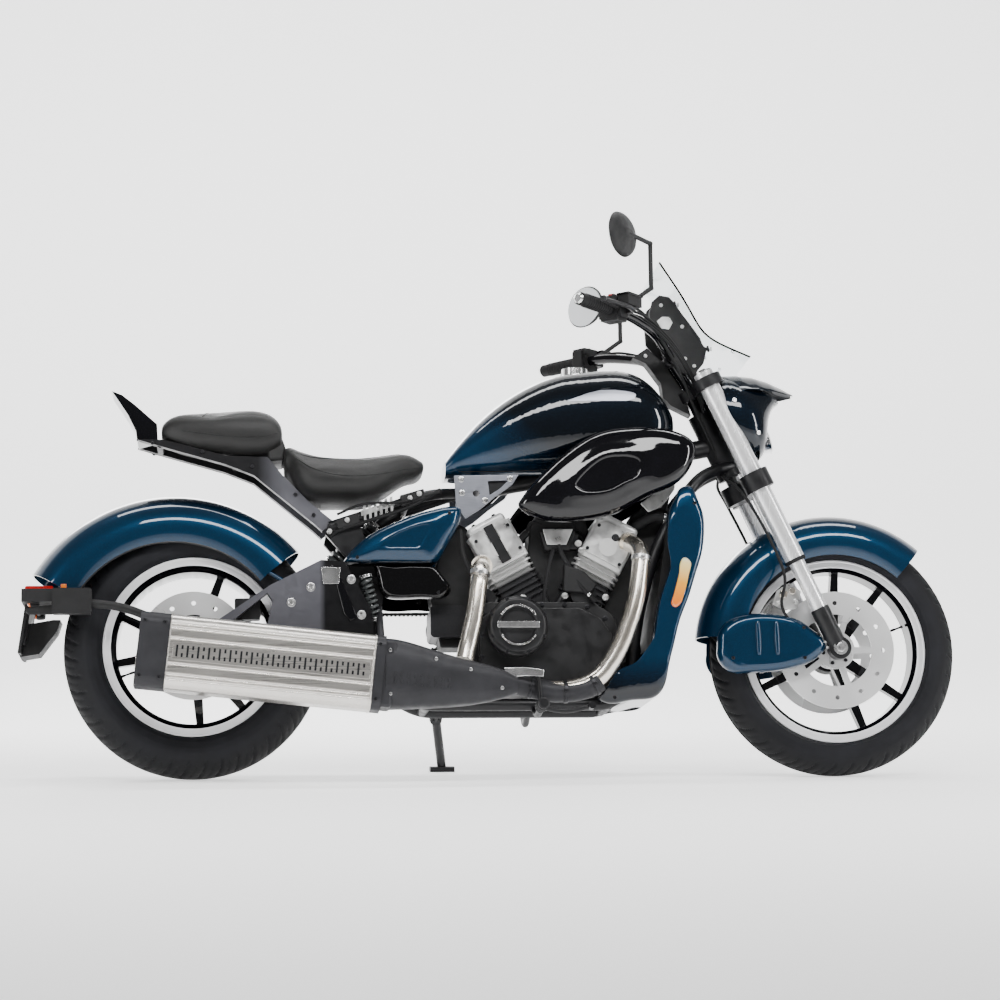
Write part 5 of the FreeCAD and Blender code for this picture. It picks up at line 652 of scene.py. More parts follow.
# ---------------------------------------------------------------- carried-over nodes
# The material of each node, with the width in millimetres of its eased edges.
FINISH = {
    "amber": dict(side_lamps=1.5),
    "arm": dict(swingarm=2.0),
    "barrel_front": dict(cylinder_front=1.0),
    "barrel_rear": dict(cylinder_rear=1.0),
    "belly": dict(radiator_cowl=2.0),
    "black": dict(foot_controls=0.8, fork_clamps=1.5, main_frame=0.0, rear_shock=0.4, side_stand=0.6,
                  stand_bracket=0.8),
    "black_cast": dict(alternator_cover=1.2, clutch_cover=1.0, engine_cases=3.0, engine_fittings=1.0,
                       fork_bottoms=1.2, front_calipers=2.0, rear_caliper=1.5),
    "blue": dict(caliper_scoops=1.0),
    "blue_fender": dict(rear_fender=0.0),
    "blue_front": dict(front_fender=0.0),
    "blue_tank": dict(fuel_tank=0.0),
    "clear": dict(windscreen=0.3),
    "dark_steel": dict(front_pulley=0.8, rear_pulley=1.0),
    "disc": dict(front_discs=0.2),
    "disc_rear": dict(rear_disc=0.2),
    "fork": dict(fork_tubes=0.0),
    "gloss_black": dict(front_rim=0.8, handlebar=0.0, rear_rim=0.8, swoop_covers=0.0, tail_fin=2.0),
    "header": dict(headers=0.0),
    "leather": dict(pillion_pad=0.0, saddle=0.0),
    "lens": dict(lamp_lens=0.4),
    "mirror": dict(mirror_glasses=0.2),
    "navy": dict(lamp_cowl=1.0),
    "plastic": dict(controls_and_mirrors=0.6, instrument=1.0, number_plate=0.6, plate_carrier=1.5),
    "plate_alloy": dict(frame_plates=0.8),
    "polished": dict(fuel_cap=1.0),
    "rail": dict(tail_rails=2.5),
    "red": dict(tail_lamp=1.0),
    "rubber": dict(drive_belt=0.4, grips=0.8, radiator=0.6),
    "shield": dict(collector_shield=3.0, muffler_ends=1.2),
    "stainless": dict(muffler_body=0.4),
    "steel": dict(front_axle=0.6, rear_axle=0.6),
    "two_tone": dict(side_covers=1.0),
    "tyre": dict(front_tyre=0.0, rear_tyre=0.0),
}
for finish, nodes in FINISH.items():
    for name, bevel in nodes.items():
        dress_node(name, finish, bevel)


# ---------------------------------------------------------------- wheels
def tyre(label, radius, width, bead, flange, rim_width, crown, centre, blocks):
    """Rubber with a road tread: a channel either side of the middle and slanted sipes over the shoulders."""
    half = width / 2
    bead_side = rim_width / 2 - 5.3
    wall = radius - flange
    section = [(bead + 0.3, bead_side), (flange + 0.3, bead_side),
               (flange + wall * 0.04, bead_side + (half - bead_side) * 0.45),
               (flange + wall * 0.13, half * 0.955), (flange + wall * 0.30, half * 0.998),
               (flange + wall * 0.42, half * 0.985)]
    for n in range(15, -1, -1):
        share = 0.95 * n / 15
        section.append((radius - crown * (1 - math.sqrt(1 - (half * share / crown) ** 2)), half * share))
    fine = []
    for (r0, y0), (r1, y1) in zip(section, section[1:]):
        count = max(1, int(math.hypot(r1 - r0, y1 - y0) / 4.0))
        fine += [(r0 + (r1 - r0) * k / count, y0 + (y1 - y0) * k / count) for k in range(count)]
    fine = [(r, -y) for r, y in fine + section[-1:]] + [(r, y) for r, y in reversed(fine)]
    steps = 640
    verts = []
    for n in range(steps):
        a = math.tau * n / steps
        for r, y in fine:
            depth = 0.0
            across = abs(y) / half
            if r > flange + wall * 0.5 and across < 0.93:
                slant = ((n / steps * blocks) % 1.0 - across * 0.9) % 1.0
                if 0.05 < across < 0.105:
                    depth = 4.0
                if 0.2 < across < 0.86 and slant < 0.16:
                    depth = 4.2 * min(1.0, (0.93 - across) * 6)
                if 0.28 < across < 0.74 and 0.52 < slant < 0.60:
                    depth = 2.6
            if flange + wall * 0.20 < r < flange + wall * 0.30 and across > 0.9:
                depth -= 0.5
            verts.append(((r - depth) * math.cos(a), y, (r - depth) * math.sin(a)))
    made = Piece(label + "_tyre_rubber", "tyre_" + label, label + "_wheel")
    made.add(verts, grid(steps, len(fine), True, True), Matrix.Translation(centre))
    made.done(angle=42, replaces=(label + "_tyre",))


tyre("rear", 336, 200, 216, 232, 164, 112, REAR_AXLE, 44)
tyre("front", 326.5, 140, 228, 242, 98, 78, FRONT_AXLE, 40)


def wheel_trim(label, centre, flange, rim_width, hub, hub_length, phase):
    """The bright machined lip of each flange, the hub's turned rings and the valve."""
    body = label + "_wheel"
    lip = Piece(label + "_rim_lip", "rim_ring", body)
    rings = Piece(label + "_hub_rings", "black", body)
    for sign in (-1, 1):
        edge, side = rim_width / 2, hub_length / 2
        lip.lathe([(flange - 20.6, edge - 1), (flange + 0.6, edge - 1), (flange + 0.6, edge + 1.0),
                   (flange - 0.8, edge + 2.0), (flange - 3.5, edge + 2.2), (flange - 5, edge + 1.2),
                   (flange - 18, edge + 1.0), (flange - 19.5, edge + 1.6), (flange - 20.6, edge + 0.6),
                   (flange - 20.6, edge - 1)], centre, Y * sign, 160)
        rings.lathe([(hub - 8, side - 14), (hub + 2.5, side - 14), (hub + 2.5, side - 8), (hub - 1, side - 5),
                     (hub - 8, side - 5), (hub - 8, side - 14)], centre, Y * sign, 72)
        rings.lathe([(15, side - 3), (26, side - 3), (27, side - 1), (26, side + 0.6), (15, side + 0.6),
                     (15, side - 3)], centre, Y * sign, 48)
    lip.done(angle=30)
    rings.done(angle=30)
    ray = polar(math.radians(phase))
    valve = Piece(label + "_valve", "rubber", body)
    valve.lathe([(0.0, 0), (3.6, 0), (3.6, 6), (2.6, 8), (2.6, 22), (3.4, 23), (3.4, 33), (2.0, 35), (0.0, 35)],
                centre + ray * (flange - 34), -ray, 16)
    valve.done(angle=30)


wheel_trim("rear", REAR_AXLE, 232, 164, 52, 176, 200)
wheel_trim("front", FRONT_AXLE, 242, 98, 42, 112, 20)
for label, centre, side, radius in (("front_disc_screws_right", FRONT_AXLE, -68.5, 36),
                                    ("front_disc_screws_left", FRONT_AXLE, 68.5, 36),
                                    ("rear_disc_screws", REAR_AXLE, -108.5, 38)):
    screws = Piece(label, "dark_steel", label.split("_")[0] + "_wheel")
    screws.circle(Piece.socket, centre + Y * side, Y * math.copysign(1, side), radius, 6, 0.2, 5, 5)
    screws.done()


# ---------------------------------------------------------------- seats
def cushion(node, pressure, cap):
    """The pad's CAD form remeshed, blown up a little under a cap, then smoothed."""
    def bake():
        mesh = bpy.data.meshes.new_from_object(made.evaluated_get(bpy.context.evaluated_depsgraph_get()))
        made.modifiers.clear()
        made.data = mesh
        return mesh

    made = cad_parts[node].copy()
    mesh = made.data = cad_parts[node].data.copy()
    made.name = node + "_leather"
    made.modifiers.clear()
    made.hide_render = made.hide_viewport = False
    bpy.context.collection.objects.link(made)
    made.parent = None
    made.matrix_world = Matrix.Identity(4)
    centre = sum((v.co for v in mesh.vertices), Vector()) / len(mesh.vertices)
    for vert in mesh.vertices:
        vert.co = centre + (vert.co - centre) * 0.985
    remesh = made.modifiers.new("remesh", "REMESH")
    remesh.mode = "VOXEL"
    remesh.voxel_size = 0.006
    made.modifiers.new("even", "SMOOTH").iterations = 6
    mesh = bake()
    rest = [v.co.copy() for v in mesh.vertices]
    base = min(co.z for co in rest)
    pins = made.vertex_groups.new(name="base")
    tall = max(co.z for co in rest) - base
    for n, co in enumerate(rest):
        pins.add([n], max(0.0, 1 - (co.z - base) / (tall * 0.35)), "REPLACE")
    cloth = made.modifiers.new("cloth", "CLOTH").settings
    cloth.quality = 4
    cloth.mass = 0.4
    cloth.tension_stiffness = cloth.compression_stiffness = 40
    cloth.bending_stiffness = 6
    cloth.use_pressure = True
    cloth.uniform_pressure_force = pressure
    cloth.vertex_group_mass = "base"
    cloth.effector_weights.gravity = 0
    for step in range(1, 15):
        bpy.context.scene.frame_set(step)
    mesh = bake()
    bpy.context.scene.frame_set(1)
    for vert, start in zip(mesh.vertices, rest):
        step = vert.co - start
        if step.length > cap:
            vert.co = start + step.normalized() * cap
    mesh.materials.clear()
    mesh.materials.append(M["leather"])
    made.modifiers.new("even", "SMOOTH").iterations = 4
    mesh.polygons.foreach_set("use_smooth", [True] * len(mesh.polygons))
    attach(made, "chassis")
    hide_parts(node)
    return surface_tree(made)


def seam(name, tree, rays, radius=1.5, lift=0.2, per=3, material="thread", angle=60):
    """Welt that follows the surface where the rays land."""
    made = Piece(name, material)
    made.pipe([spot + normal * lift for spot, normal in hits(tree, rays)], radius, 8, per)
    made.done(angle=angle)


saddle_tree, pillion_tree = cushion("saddle", 3.0, 0.006), cushion("pillion_pad", 3.0, 0.005)
for label, side in SIDES:
    seam("saddle_welt_" + label, saddle_tree, inwards(side, (
        (262, 828), (300, 800), (345, 783), (400, 776), (450, 779), (500, 788), (545, 800), (582, 808))))
    seam("saddle_top_seam_" + label, saddle_tree, downwards([(x, side * y) for x, y in (
        (250, 92), (300, 100), (360, 96), (420, 82), (480, 62), (535, 44), (580, 34))]), 1.2)
    seam("pillion_welt_" + label, pillion_tree, inwards(side, (
        (-78, 908), (-20, 900), (50, 890), (120, 884), (175, 886), (215, 896))))
seam("saddle_cross_seam", saddle_tree, downwards([(430 - abs(y) * 0.35, y) for y in range(-96, 97, 16)]), 1.2)
seam("pillion_cross_seam", pillion_tree, downwards([(40 - abs(y) * 0.25, y) for y in range(-80, 81, 16)]), 1.2)


# ---------------------------------------------------------------- placing trim on the finished surfaces
def plate_on(piece, spot, normal, along, size, sink=1.0):
    """A small bar lying on a surface: length along, width, height."""
    up = Vector(normal).normalized()
    ahead = (Vector(along) - up * up.dot(Vector(along))).normalized()
    length, width, height = size
    piece.box((-length / 2, -width / 2, 0), (length / 2, width / 2, height + sink),
              facing(Vector(spot) - up * sink, ahead, up))


def inlay(name, material, tree, columns, side, lift=1.2):
    """Trim that follows a side surface: columns of x, low z and high z."""
    rows = 5
    found = hits(tree, inwards(side, [(x, low + (high - low) * n / (rows - 1)) for x, low, high in columns
                                      for n in range(rows)]))
    made = Piece(name, material)
    made.add([spot + normal * lift for spot, normal in found] + [spot - normal * 1.5 for spot, normal in found],
             slab(len(columns), rows))
    made.done(bevel=0.4, angle=40)


def pair(name):
    return {name + "_" + label: side for label, side in SIDES}


def studs(names, node, spots, material="steel", radius=5.0, make=Piece.socket, body="chassis"):
    """Screws or bolts wherever a sideways ray meets a face that looks that way."""
    tree = node_tree(node)
    for name, side in names.items():
        made = Piece(name, material, body)
        for spot, normal in hits(tree, inwards(side, spots)):
            if abs(normal.y) > 0.9:
                make(made, spot, Y * side, radius, radius * 0.9)
        made.done()


def coil(piece, start, end, radius, wire, turns, sides=8):
    start, end = Vector(start), Vector(end)
    _, side, other = axes(end - start)
    spots = []
    for n in range(int(turns * 14) + 1):
        a = math.tau * n / 14
        spots.append(start.lerp(end, n / (turns * 14)) + (side * math.cos(a) + other * math.sin(a)) * radius)
    piece.pipe(spots, wire, sides, 1)


# ---------------------------------------------------------------- exhaust
MUFFLER = Matrix.Translation((-136, -246, 308)) @ Matrix.Rotation(math.radians(6), 4, "Y")
BACK = Vector((-1, 0, 0))


def muffler_trim():
    band = Piece("muffler_band", "stainless")
    slots = Piece("muffler_slots", "dark_steel", slot="black_metal")
    bolts = Piece("muffler_bolts", "dark_steel")
    for sign in (-1, 1):
        near, far = sorted((63.2 * sign, 65.0 * sign))
        band.box((88, near, -22), (584, far, 24), MUFFLER)
        near, far = sorted((63.2 * sign, 65.5 * sign))
        for n in range(36):
            x = 96 + n * 13.4
            for low, high in (((-14, 16),), ((-14, -4), (6, 16)))[n % 2]:
                slots.box((x, near, low), (x + 5.2, far, high), MUFFLER)
        for x in (12, 62, 604):
            for z in (-70, 70):
                bolts.socket(MUFFLER @ Vector((x, 64 * sign, z)), Y * sign, 4.5, 3.0)
    band.done(bevel=0.5)
    slots.done(bevel=0.3)
    bolts.done()
    Piece("muffler_joint", "shield").box((606, -58, -86), (646, 58, 84), MUFFLER).done(bevel=8, angle=30)
    tip = [(19.5, -2), (22.4, -2), (24.5, 0), (24.5, 2.4), (22.4, 3), (21.8, -14), (19.5, -16), (19.5, -2)]
    Piece("muffler_tip", "stainless").lathe(tip, MUFFLER @ Vector((0, 0, -28.5)), MUFFLER.to_3x3() @ BACK).done()
    beads = Piece("muffler_bead", "stainless")
    reach_y, reach_z, corner = 64.4, 95.4, 30
    for x in (77.5, 590.0):
        spots = []
        for n in range(48):
            c, _, s = polar(math.tau * n / 48)
            y = (reach_y - corner) * (1 if c > 0 else -1) + corner * c
            z = (reach_z - corner) * (1 if s > 0 else -1) + corner * s
            spots.append(MUFFLER @ Vector((x, y, z)))
        beads.pipe(spots + spots[:1], 2.0, 8, 1)
    beads.done()


muffler_trim()
louvres = Piece("collector_louvres", "shield")
for spot, normal in hits(node_tree("collector_shield"), inwards(-1, [(508 + n * 17, 240 - n * 2.0 - drop)
                                                                     for n in range(9) for drop in (0, 17)])):
    plate_on(louvres, spot, normal, (0.25, 0, 1), (11, 5, 1.8))
louvres.done(bevel=0.7)
studs({"collector_screws": -1}, "collector_shield", ((496, 300), (496, 190), (612, 278), (700, 252), (780, 206)),
      radius=4.5)
Piece("heel_guard", "polished").prism([(788, 261), (842, 261), (890, 256), (888, 238), (842, 240), (794, 236)],
                                      -252, -247).done(bevel=1.2)
stay = Piece("heel_guard_stay", "black")
stay.pipe([(872, -247, 247), (878, -246, 220), (880, -244, 168)], 5, 12, 6)
stay.pipe([(806, -248, 248), (806, -240, 238), (806, -232, 228)], 4, 12, 5)
stay.done()

run = smooth_path([Vector(v) for v in ((1110, -95, 620), (1160, -167, 580), (1140, -193, 440), (1090, -197, 310),
                                       (1030, -200, 226), (930, -201, 204), (805, -221, 226))], 12)
Piece("header_sleeve", "shield").pipe(run[47:], 27, 28, 1).done()
bands = Piece("header_sleeve_bands", "dark_steel")
for n in (49, 58, 67):
    bands.lathe(ring(29.5, 24, -5, 5), run[n], run[n + 1] - run[n - 1], 40)
    bands.bolt(run[n] - Y * 29, -Y, 4.5, 5)
bands.done()
clamps = Piece("header_clamps", "steel")
for a, b in (((735, -180, 520), (728, -190, 470)), ((1156, -172, 560), (1150, -183, 500))):
    a, b = Vector(a), Vector(b)
    clamps.lathe(ring(25.5, 21, 0, 12), a, b - a, 40)
    clamps.bolt(a + (b - a).normalized() * 6 - Y * 26.5, -Y, 4.5, 5)
clamps.done()


# ---------------------------------------------------------------- engine
def arc(centre, radius, start, sweep, steps):
    """Points in x and z."""
    turns = [math.radians(start + sweep * n / steps) for n in range(steps + 1)]
    return [(centre.x + radius * math.cos(a), centre.z + radius * math.sin(a)) for a in turns]


trim = Piece("clutch_trim", "polished")
for start in (31, 211):
    outer, inner = arc(CLUTCH, 53.5, start, 118, 24), arc(CLUTCH, 48.5, start, 118, 24)
    for quad in zip(outer, outer[1:], inner[1:], inner):
        trim.prism(quad, -213, -200)
trim.prism([(776, 369), (884, 369), (884, 385), (776, 385)], -214, -197)
trim.done(bevel=0.6)
Piece("clutch_screws", "dark_steel").circle(Piece.socket, CLUTCH - Y * 200, -Y, 73, 8, math.tau / 16, 4.5, 4.5).done()
trim = Piece("alternator_trim", "polished")
trim.lathe(ring(74, 70.5, 189, 191.4, 0.5), CRANK, Y, 72)
trim.lathe(ring(20, 0.01, 183, 187, 1.0)[:-1], CRANK, Y, 36)
trim.done()
Piece("alternator_screws", "dark_steel").circle(Piece.socket, CRANK + Y * 185, Y, 92, 9, 0, 4.5, 4.5).done()
studs(pair("case_bolts"), "engine_cases", (
    (742, 236), (740, 300), (742, 356), (748, 418), (790, 436), (900, 440), (960, 440), (1020, 434), (1066, 404),
    (1092, 350), (1096, 290), (1074, 240), (1010, 226), (950, 222), (890, 222), (820, 226)), "dark_steel",
    make=Piece.bolt)


def head_trim(label, sign):
    """sign is 1 for the front bank and -1 for the rear one."""
    place = Matrix.Translation(CRANK) @ Matrix.Rotation(math.radians(28 * sign), 4, "Y")
    up = place.to_3x3() @ Z
    plates = Piece(label + "_head_plates", "silver")
    dark = Piece(label + "_head_slots", "black")
    bolts = Piece(label + "_head_bolts", "dark_steel")
    leads = Piece(label + "_plug_leads", "rubber")
    boots = Piece(label + "_plug_boots", "plastic")
    if sign > 0:
        plates.both([(-50, 268), (50, 268), (56, 300), (50, 352), (30, 366), (-30, 366), (-50, 352), (-56, 300)],
                    104.2, 109, place)
    else:
        for low, high in ((-56, -15), (15, 56)):
            plates.both([(low, 264), (high, 264), (high, 356), (high - 8, 366), (low + 8, 366), (low, 356)],
                        104.2, 109, place)
        dark.both([(-13, 262), (13, 262), (13, 368), (-13, 368)], 104.2, 110.5, place)
    for side in (-1, 1):
        if sign > 0:
            bolts.bolt(place @ Vector((6, 109 * side, 336)), Y * side, 7, 6)
        for x, z in ((-47, 277), (-47, 345), (47, 277), (47, 345)):
            bolts.socket(place @ Vector((x, 109 * side, z)), Y * side, 4.5, 4.5)
        for x, y in ((-30, 40), (-30, 84), (30, 40), (30, 84)):
            bolts.bolt(place @ Vector((x, y * side, 385.6)), up, 5, 5)
        start = place @ Vector((-66 * sign, 58 * side, 300))
        out = (place.to_3x3() @ Vector((-sign, 0, 0.35))).normalized()
        boots.knob(start - out * 6, out, 10, 34, 24)
        leads.pipe([start + out * 26, start + out * 46 + Vector((0, 4 * side, 12)), (935, 52 * side, 660),
                    (930, 40 * side, 730)], 4.2, 10, 6)
    plates.done(bevel=1.6)
    dark.done(bevel=0.6)
    for piece in (bolts, boots, leads):
        piece.done()


head_trim("front", 1)
head_trim("rear", -1)

hoses = Piece("coolant_hoses", "rubber")
hoses.pipes([(1244, 80, 672), (1200, 84, 676), (1150, 70, 650), (1108, 50, 622)], 14, 16, 6)
hoses.pipe([(1055, 138, 250), (1075, 150, 258), (1120, 140, 300), (1190, 95, 352)], 13, 16, 6)
hoses.pipe([(756, -110, 446), (742, -128, 480), (700, -120, 560), (690, -100, 640)], 6, 10, 6)
hoses.pipe([(1040, -128, 446), (1000, -128, 490), (962, -116, 560), (950, -96, 600)], 6, 10, 6)
hoses.pipe([(905, -112, 446), (912, -118, 500), (925, -112, 560), (938, -92, 592)], 5, 10, 6)
hoses.pipe([(870, 112, 446), (905, 120, 500), (930, 112, 560), (950, 92, 600)], 6, 10, 6)
hoses.done()
clips = Piece("hose_clips", "polished")
for a, b, radius in (((1236, -81, 673), (1200, -84, 676), 15.6), ((1236, 81, 673), (1200, 84, 676), 15.6),
                     ((1122, -57, 632), (1108, -50, 622), 15.6), ((1122, 57, 632), (1108, 50, 622), 15.6),
                     ((1180, 101, 346), (1190, 95, 352), 14.6), ((750, -117, 462), (744, -124, 476), 7.6),
                     ((1026, -128, 462), (1014, -128, 475), 7.6)):
    clips.lathe(ring(radius, radius - 3, 0, 8), a, Vector(b) - Vector(a), 28)
clips.done()

boxes = Piece("air_box", "plastic")
boxes.prism([(878, 664), (900, 690), (1021, 682), (1034, 645), (1004, 566), (985, 512), (968, 470), (948, 436),
             (920, 436), (896, 480), (880, 530), (872, 590)], -62, 62)
boxes.both([(960, 548), (1012, 526), (1047, 492), (1026, 468), (956, 474)], 96, 132)
boxes.both([(900, 640), (996, 640), (980, 586), (914, 586)], 62, 92)
boxes.prism([(612, 480), (640, 590), (688, 664), (712, 652), (730, 610), (752, 560), (762, 500), (740, 430), (716, 336),
             (640, 336)], -58, 58)
boxes.prism([(1150, 690), (1228, 742), (1256, 742), (1236, 670), (1200, 528), (1176, 420), (1124, 380), (1060, 420),
             (1084, 500), (1120, 600)], -44, 44)
boxes.done(bevel=5.0, angle=25)
boxes = Piece("air_box_trim", "silver")
boxes.both([(908, 644), (988, 644), (970, 602), (919, 602)], 92, 97)
boxes.both([(1167, 711), (1232, 757), (1262, 772), (1258, 748), (1222, 700), (1187, 688)], 98, 106)
boxes.done(bevel=1.6)
sensors = Piece("engine_sensors", "silver")
spots = ((1000, 98, 604), (1008, 100, 585), (960, 118, 462), (852, 112, 458), (1066, 122, 458))
sensors.heads(Piece.knob, spots, 9, 14, 24)
for x, y, z in spots:
    sensors.bolt((x, -y - 13, z), -Y, 4.5, 5)
sensors.done()


# ---------------------------------------------------------------- radiator
core = Piece("radiator_core_fins", "dark_steel", slot="black_metal")
for n in range(40):
    z = 344 + n * 8.8
    x = 1222 + (z - 330) * 60 / 370
    core.box((x - 2, -112, z), (x + 2.6, 112, z + 2.4))
core.done()
tanks = Piece("radiator_tanks", "plastic")
tanks.both([(1221, 336), (1227, 336), (1287, 694), (1281, 694)], 110, 125.5)
tanks.prism([(1226, 334), (1232, 334), (1236, 350), (1228, 350)], -110, 110)
tanks.prism([(1280, 680), (1287, 680), (1289, 696), (1282, 696)], -110, 110)
tanks.done(bevel=1.5)
studs({"cowl_screws": -1, "cowl_screws_left": 1}, "radiator_cowl", ((1300, 700), (1208, 230), (1080, 192)),
      "dark_steel", 4.5)


# ---------------------------------------------------------------- frame, seat rail and tail
studs(pair("frame_plate_bolts"), "frame_plates", ((694, 772), (696, 736), (756, 716), (822, 774)), "polished", 5.5,
      Piece.bolt)
# Painted shade: a satin black sheet fills the frame plate's triangular recess, where only shade shows.
Piece("frame_plate_recess_shade", "black").both([(752, 776), (826, 778), (790, 744), (760, 724)], 101.0, 103.6).done(
    bevel=0.4)
bits = Piece("seat_rail_boxes", "plastic")
bits.both([(372, 640), (430, 656), (424, 684), (366, 664)], 80, 108)
bits.both([(538, 700), (600, 722), (596, 748), (534, 730)], 80, 108)
bits.done(bevel=2.0)
shiny = Piece("seat_rail_fittings", "silver")
for n in range(6):
    x, z = 440 + n * 14, 664 + n * 4.6
    shiny.both([(x, z), (x + 6, z + 2), (x + 4, z + 40), (x - 2, z + 38)], 80, 108)
shiny.both([(434, 676), (520, 704), (518, 716), (432, 690)], 84, 104)
spots = ((396, 664), (560, 722), (584, 734), (350, 634))
shiny.heads(Piece.knob, [(x, 96, z) for x, z in spots], 7, 16, 24)
shiny.heads(Piece.bolt, [(x, 111, z) for x, z in spots], 4.5, 4)
shiny.done(bevel=0.6)
loom = Piece("wiring_loom", "rubber")
loom.pipes([(640, 92, 748), (560, 106, 700), (470, 108, 668), (380, 100, 640), (352, 92, 622)], 5, 10, 6)
loom.pipes([(640, 96, 742), (540, 112, 712), (440, 112, 706), (370, 100, 680)], 3.5, 8, 6)
loom.done()

spring = Piece("shock_spring", "spring")
foot, top = Vector((344, 0, 534)), Vector((545, 0, 706))
coil(spring, foot.lerp(top, 0.13), foot.lerp(top, 0.65), 33, 5.5, 8.5, 10)
collars = Piece("shock_collars", "polished")
for share, radius in ((0.10, 36), (0.66, 36), (0.955, 16)):
    collars.lathe(ring(radius, 8, 0, 8), foot.lerp(top, share), top - foot, 40)
for side in (-118, 118):
    coil(spring, (442, side, 512), (468, side, 404), 13, 4.0, 8, 8)
    collars.lathe(ring(17, 3, -4, 4), (442, side, 514), (26, 0, -108), 32)
    collars.lathe(ring(17, 3, -4, 4), (468, side, 402), (26, 0, -108), 32)
spring.done()
collars.both([(326, 532), (376, 530), (372, 488), (332, 488)], 150, 167)
collars.done(bevel=0.8)
Piece("swingarm_bands", "gloss_black").both([(352, 540), (372, 520), (420, 400), (400, 392), (384, 412)],
                                            161, 166).done(bevel=2.0)
studs(pair("swingarm_bolts"), "swingarm", ((430, 408), (300, 480), (250, 440), (404, 500), (20, 336)), radius=8,
      make=Piece.bolt)
nuts = Piece("axle_nuts", "steel")
nuts.heads(Piece.bolt, [(0, 163, 336)], 15, 9)
nuts.both([(-34, 318), (30, 318), (30, 354), (-34, 354)], 161, 164.5)
nuts.done(bevel=0.8)

studs(pair("tail_rail_bolts"), "tail_rails", ((-110, 872), (20, 850), (150, 812), (262, 736), (310, 682)), "dark_steel")
Piece("seat_step", "leather").prism([(190, 896), (222, 902), (238, 862), (236, 830), (190, 826)], -74, 74).done(
    bevel=9, angle=25)
Piece("fender_edge", "black").pipes([(x, 122.2, z) for x, z in arc(Vector((-50, 0, 310)), 293, 41.6, 106.8, 36)],
                                    2.6, 8, 1).done()
tail = Piece("tail_brackets", "plastic")
tail.prism([(-357, 478), (-424, 472), (-436, 462), (-430, 452), (-357, 452)], -150, -132)
tail.prism([(-357, 436), (-418, 430), (-426, 420), (-418, 412), (-357, 412)], -150, -136)
tail.pipes([(-405, 30, 448), (-408, 92, 446), (-408, 112, 446)], 6, 12, 5)
signals = Piece("rear_indicators", "amber")
for side in (-118, 118):
    tail.lathe([(0.01, 0), (11, 0), (14, 6), (14.5, 20), (12, 24), (0.01, 24)], (-392, side, 446), BACK, 32)
    signals.lathe([(0.01, 0), (13, 0), (12.5, 4), (8, 7), (0.01, 8)], (-415, side, 446), BACK, 32)
tail.prism([(-362, 411), (-342, 411), (-352, 381), (-396, 322), (-446, 314), (-432, 356), (-424, 400)], -46, 46)
tail.done(bevel=1.5)
signals.box((-336, -160, 478), (-322, -154, 488))
signals.done(bevel=0.8)
PLATE = Matrix.Translation((-424, 0, 470)) @ Matrix.Rotation(math.radians(8), 4, "Y")
plate = Piece("plate_frame", "plastic")
for low, high in (((-2, -103, -152), (6, -99, 1)), ((-2, 99, -152), (6, 103, 1)), ((-2, -103, -153), (6, 103, -149))):
    plate.box(low, high, PLATE)
plate.done(bevel=0.8)
screws = Piece("plate_screws", "steel")
for y in (-60, 60):
    screws.socket(PLATE @ Vector((0, y, -20)), PLATE.to_3x3() @ BACK, 5, 3)
screws.done()


# ---------------------------------------------------------------- tank and covers
tank_tree, swoop_tree = node_tree("fuel_tank"), node_tree("swoop_covers")
for label, side in SIDES:
    inlay("tank_trim_" + label, "plate_alloy", tank_tree,
          [(974, 976, 978.5), (1000, 976.5, 988), (1030, 977, 999), (1062, 977, 1007), (1100, 977, 1008),
           (1130, 977, 1005), (1150, 983, 1001), (1156, 992, 997)], side)
    seam("tank_seam_" + label, tank_tree, inwards(side, (
        (690, 800), (740, 800), (800, 801), (860, 803), (920, 806), (980, 810), (1040, 815), (1100, 824), (1160, 838),
        (1210, 862))), 1.6, -0.4, 4, "black", 35)
    # Painted highlight: a polished strip laid along the bright streak that light makes on each swoop cover.
    inlay("cover_highlight_strip_" + label, "polished", swoop_tree,
          [(846, 783, 785), (860, 792, 796), (880, 807, 812), (900, 823, 828), (918, 839, 841)], side, 1.0)
cap = Piece("fuel_cap_ring", "gloss_black")
cap.lathe(ring(42, 33, 1052.4, 1066, 2.5), (1010, 0, 0), Z, 64)
cap.lathe([(0.01, 1090), (18, 1090), (20, 1092), (18, 1094.4), (0.01, 1095)], (1010, 0, 0), Z, 40)
cap.done()
studs(pair("side_cover_screws"), "side_covers", ((420, 560), (660, 676), (480, 470), (630, 470)), "dark_steel", 4.5)


# ---------------------------------------------------------------- drive belt
def belt_teeth():
    front, small, large = Vector((655, 0, 402)), 42.3, 104.3
    span = front - REAR_AXLE
    tilt = math.atan2(span.z, span.x)
    spread = math.acos((large - small) / span.length)
    teeth = Piece("belt_teeth", "rubber")
    for turn in (tilt + spread, tilt - spread):
        ray = polar(turn)
        a, b = REAR_AXLE + ray * large, front + ray * small
        count = int((b - a).length / 11)
        for n in range(2, count - 1):
            plate_on(teeth, a.lerp(b, n / count) + Y * 117, -ray, b - a, (5, 17, 2.4), 0.6)
    teeth.done()


belt_teeth()


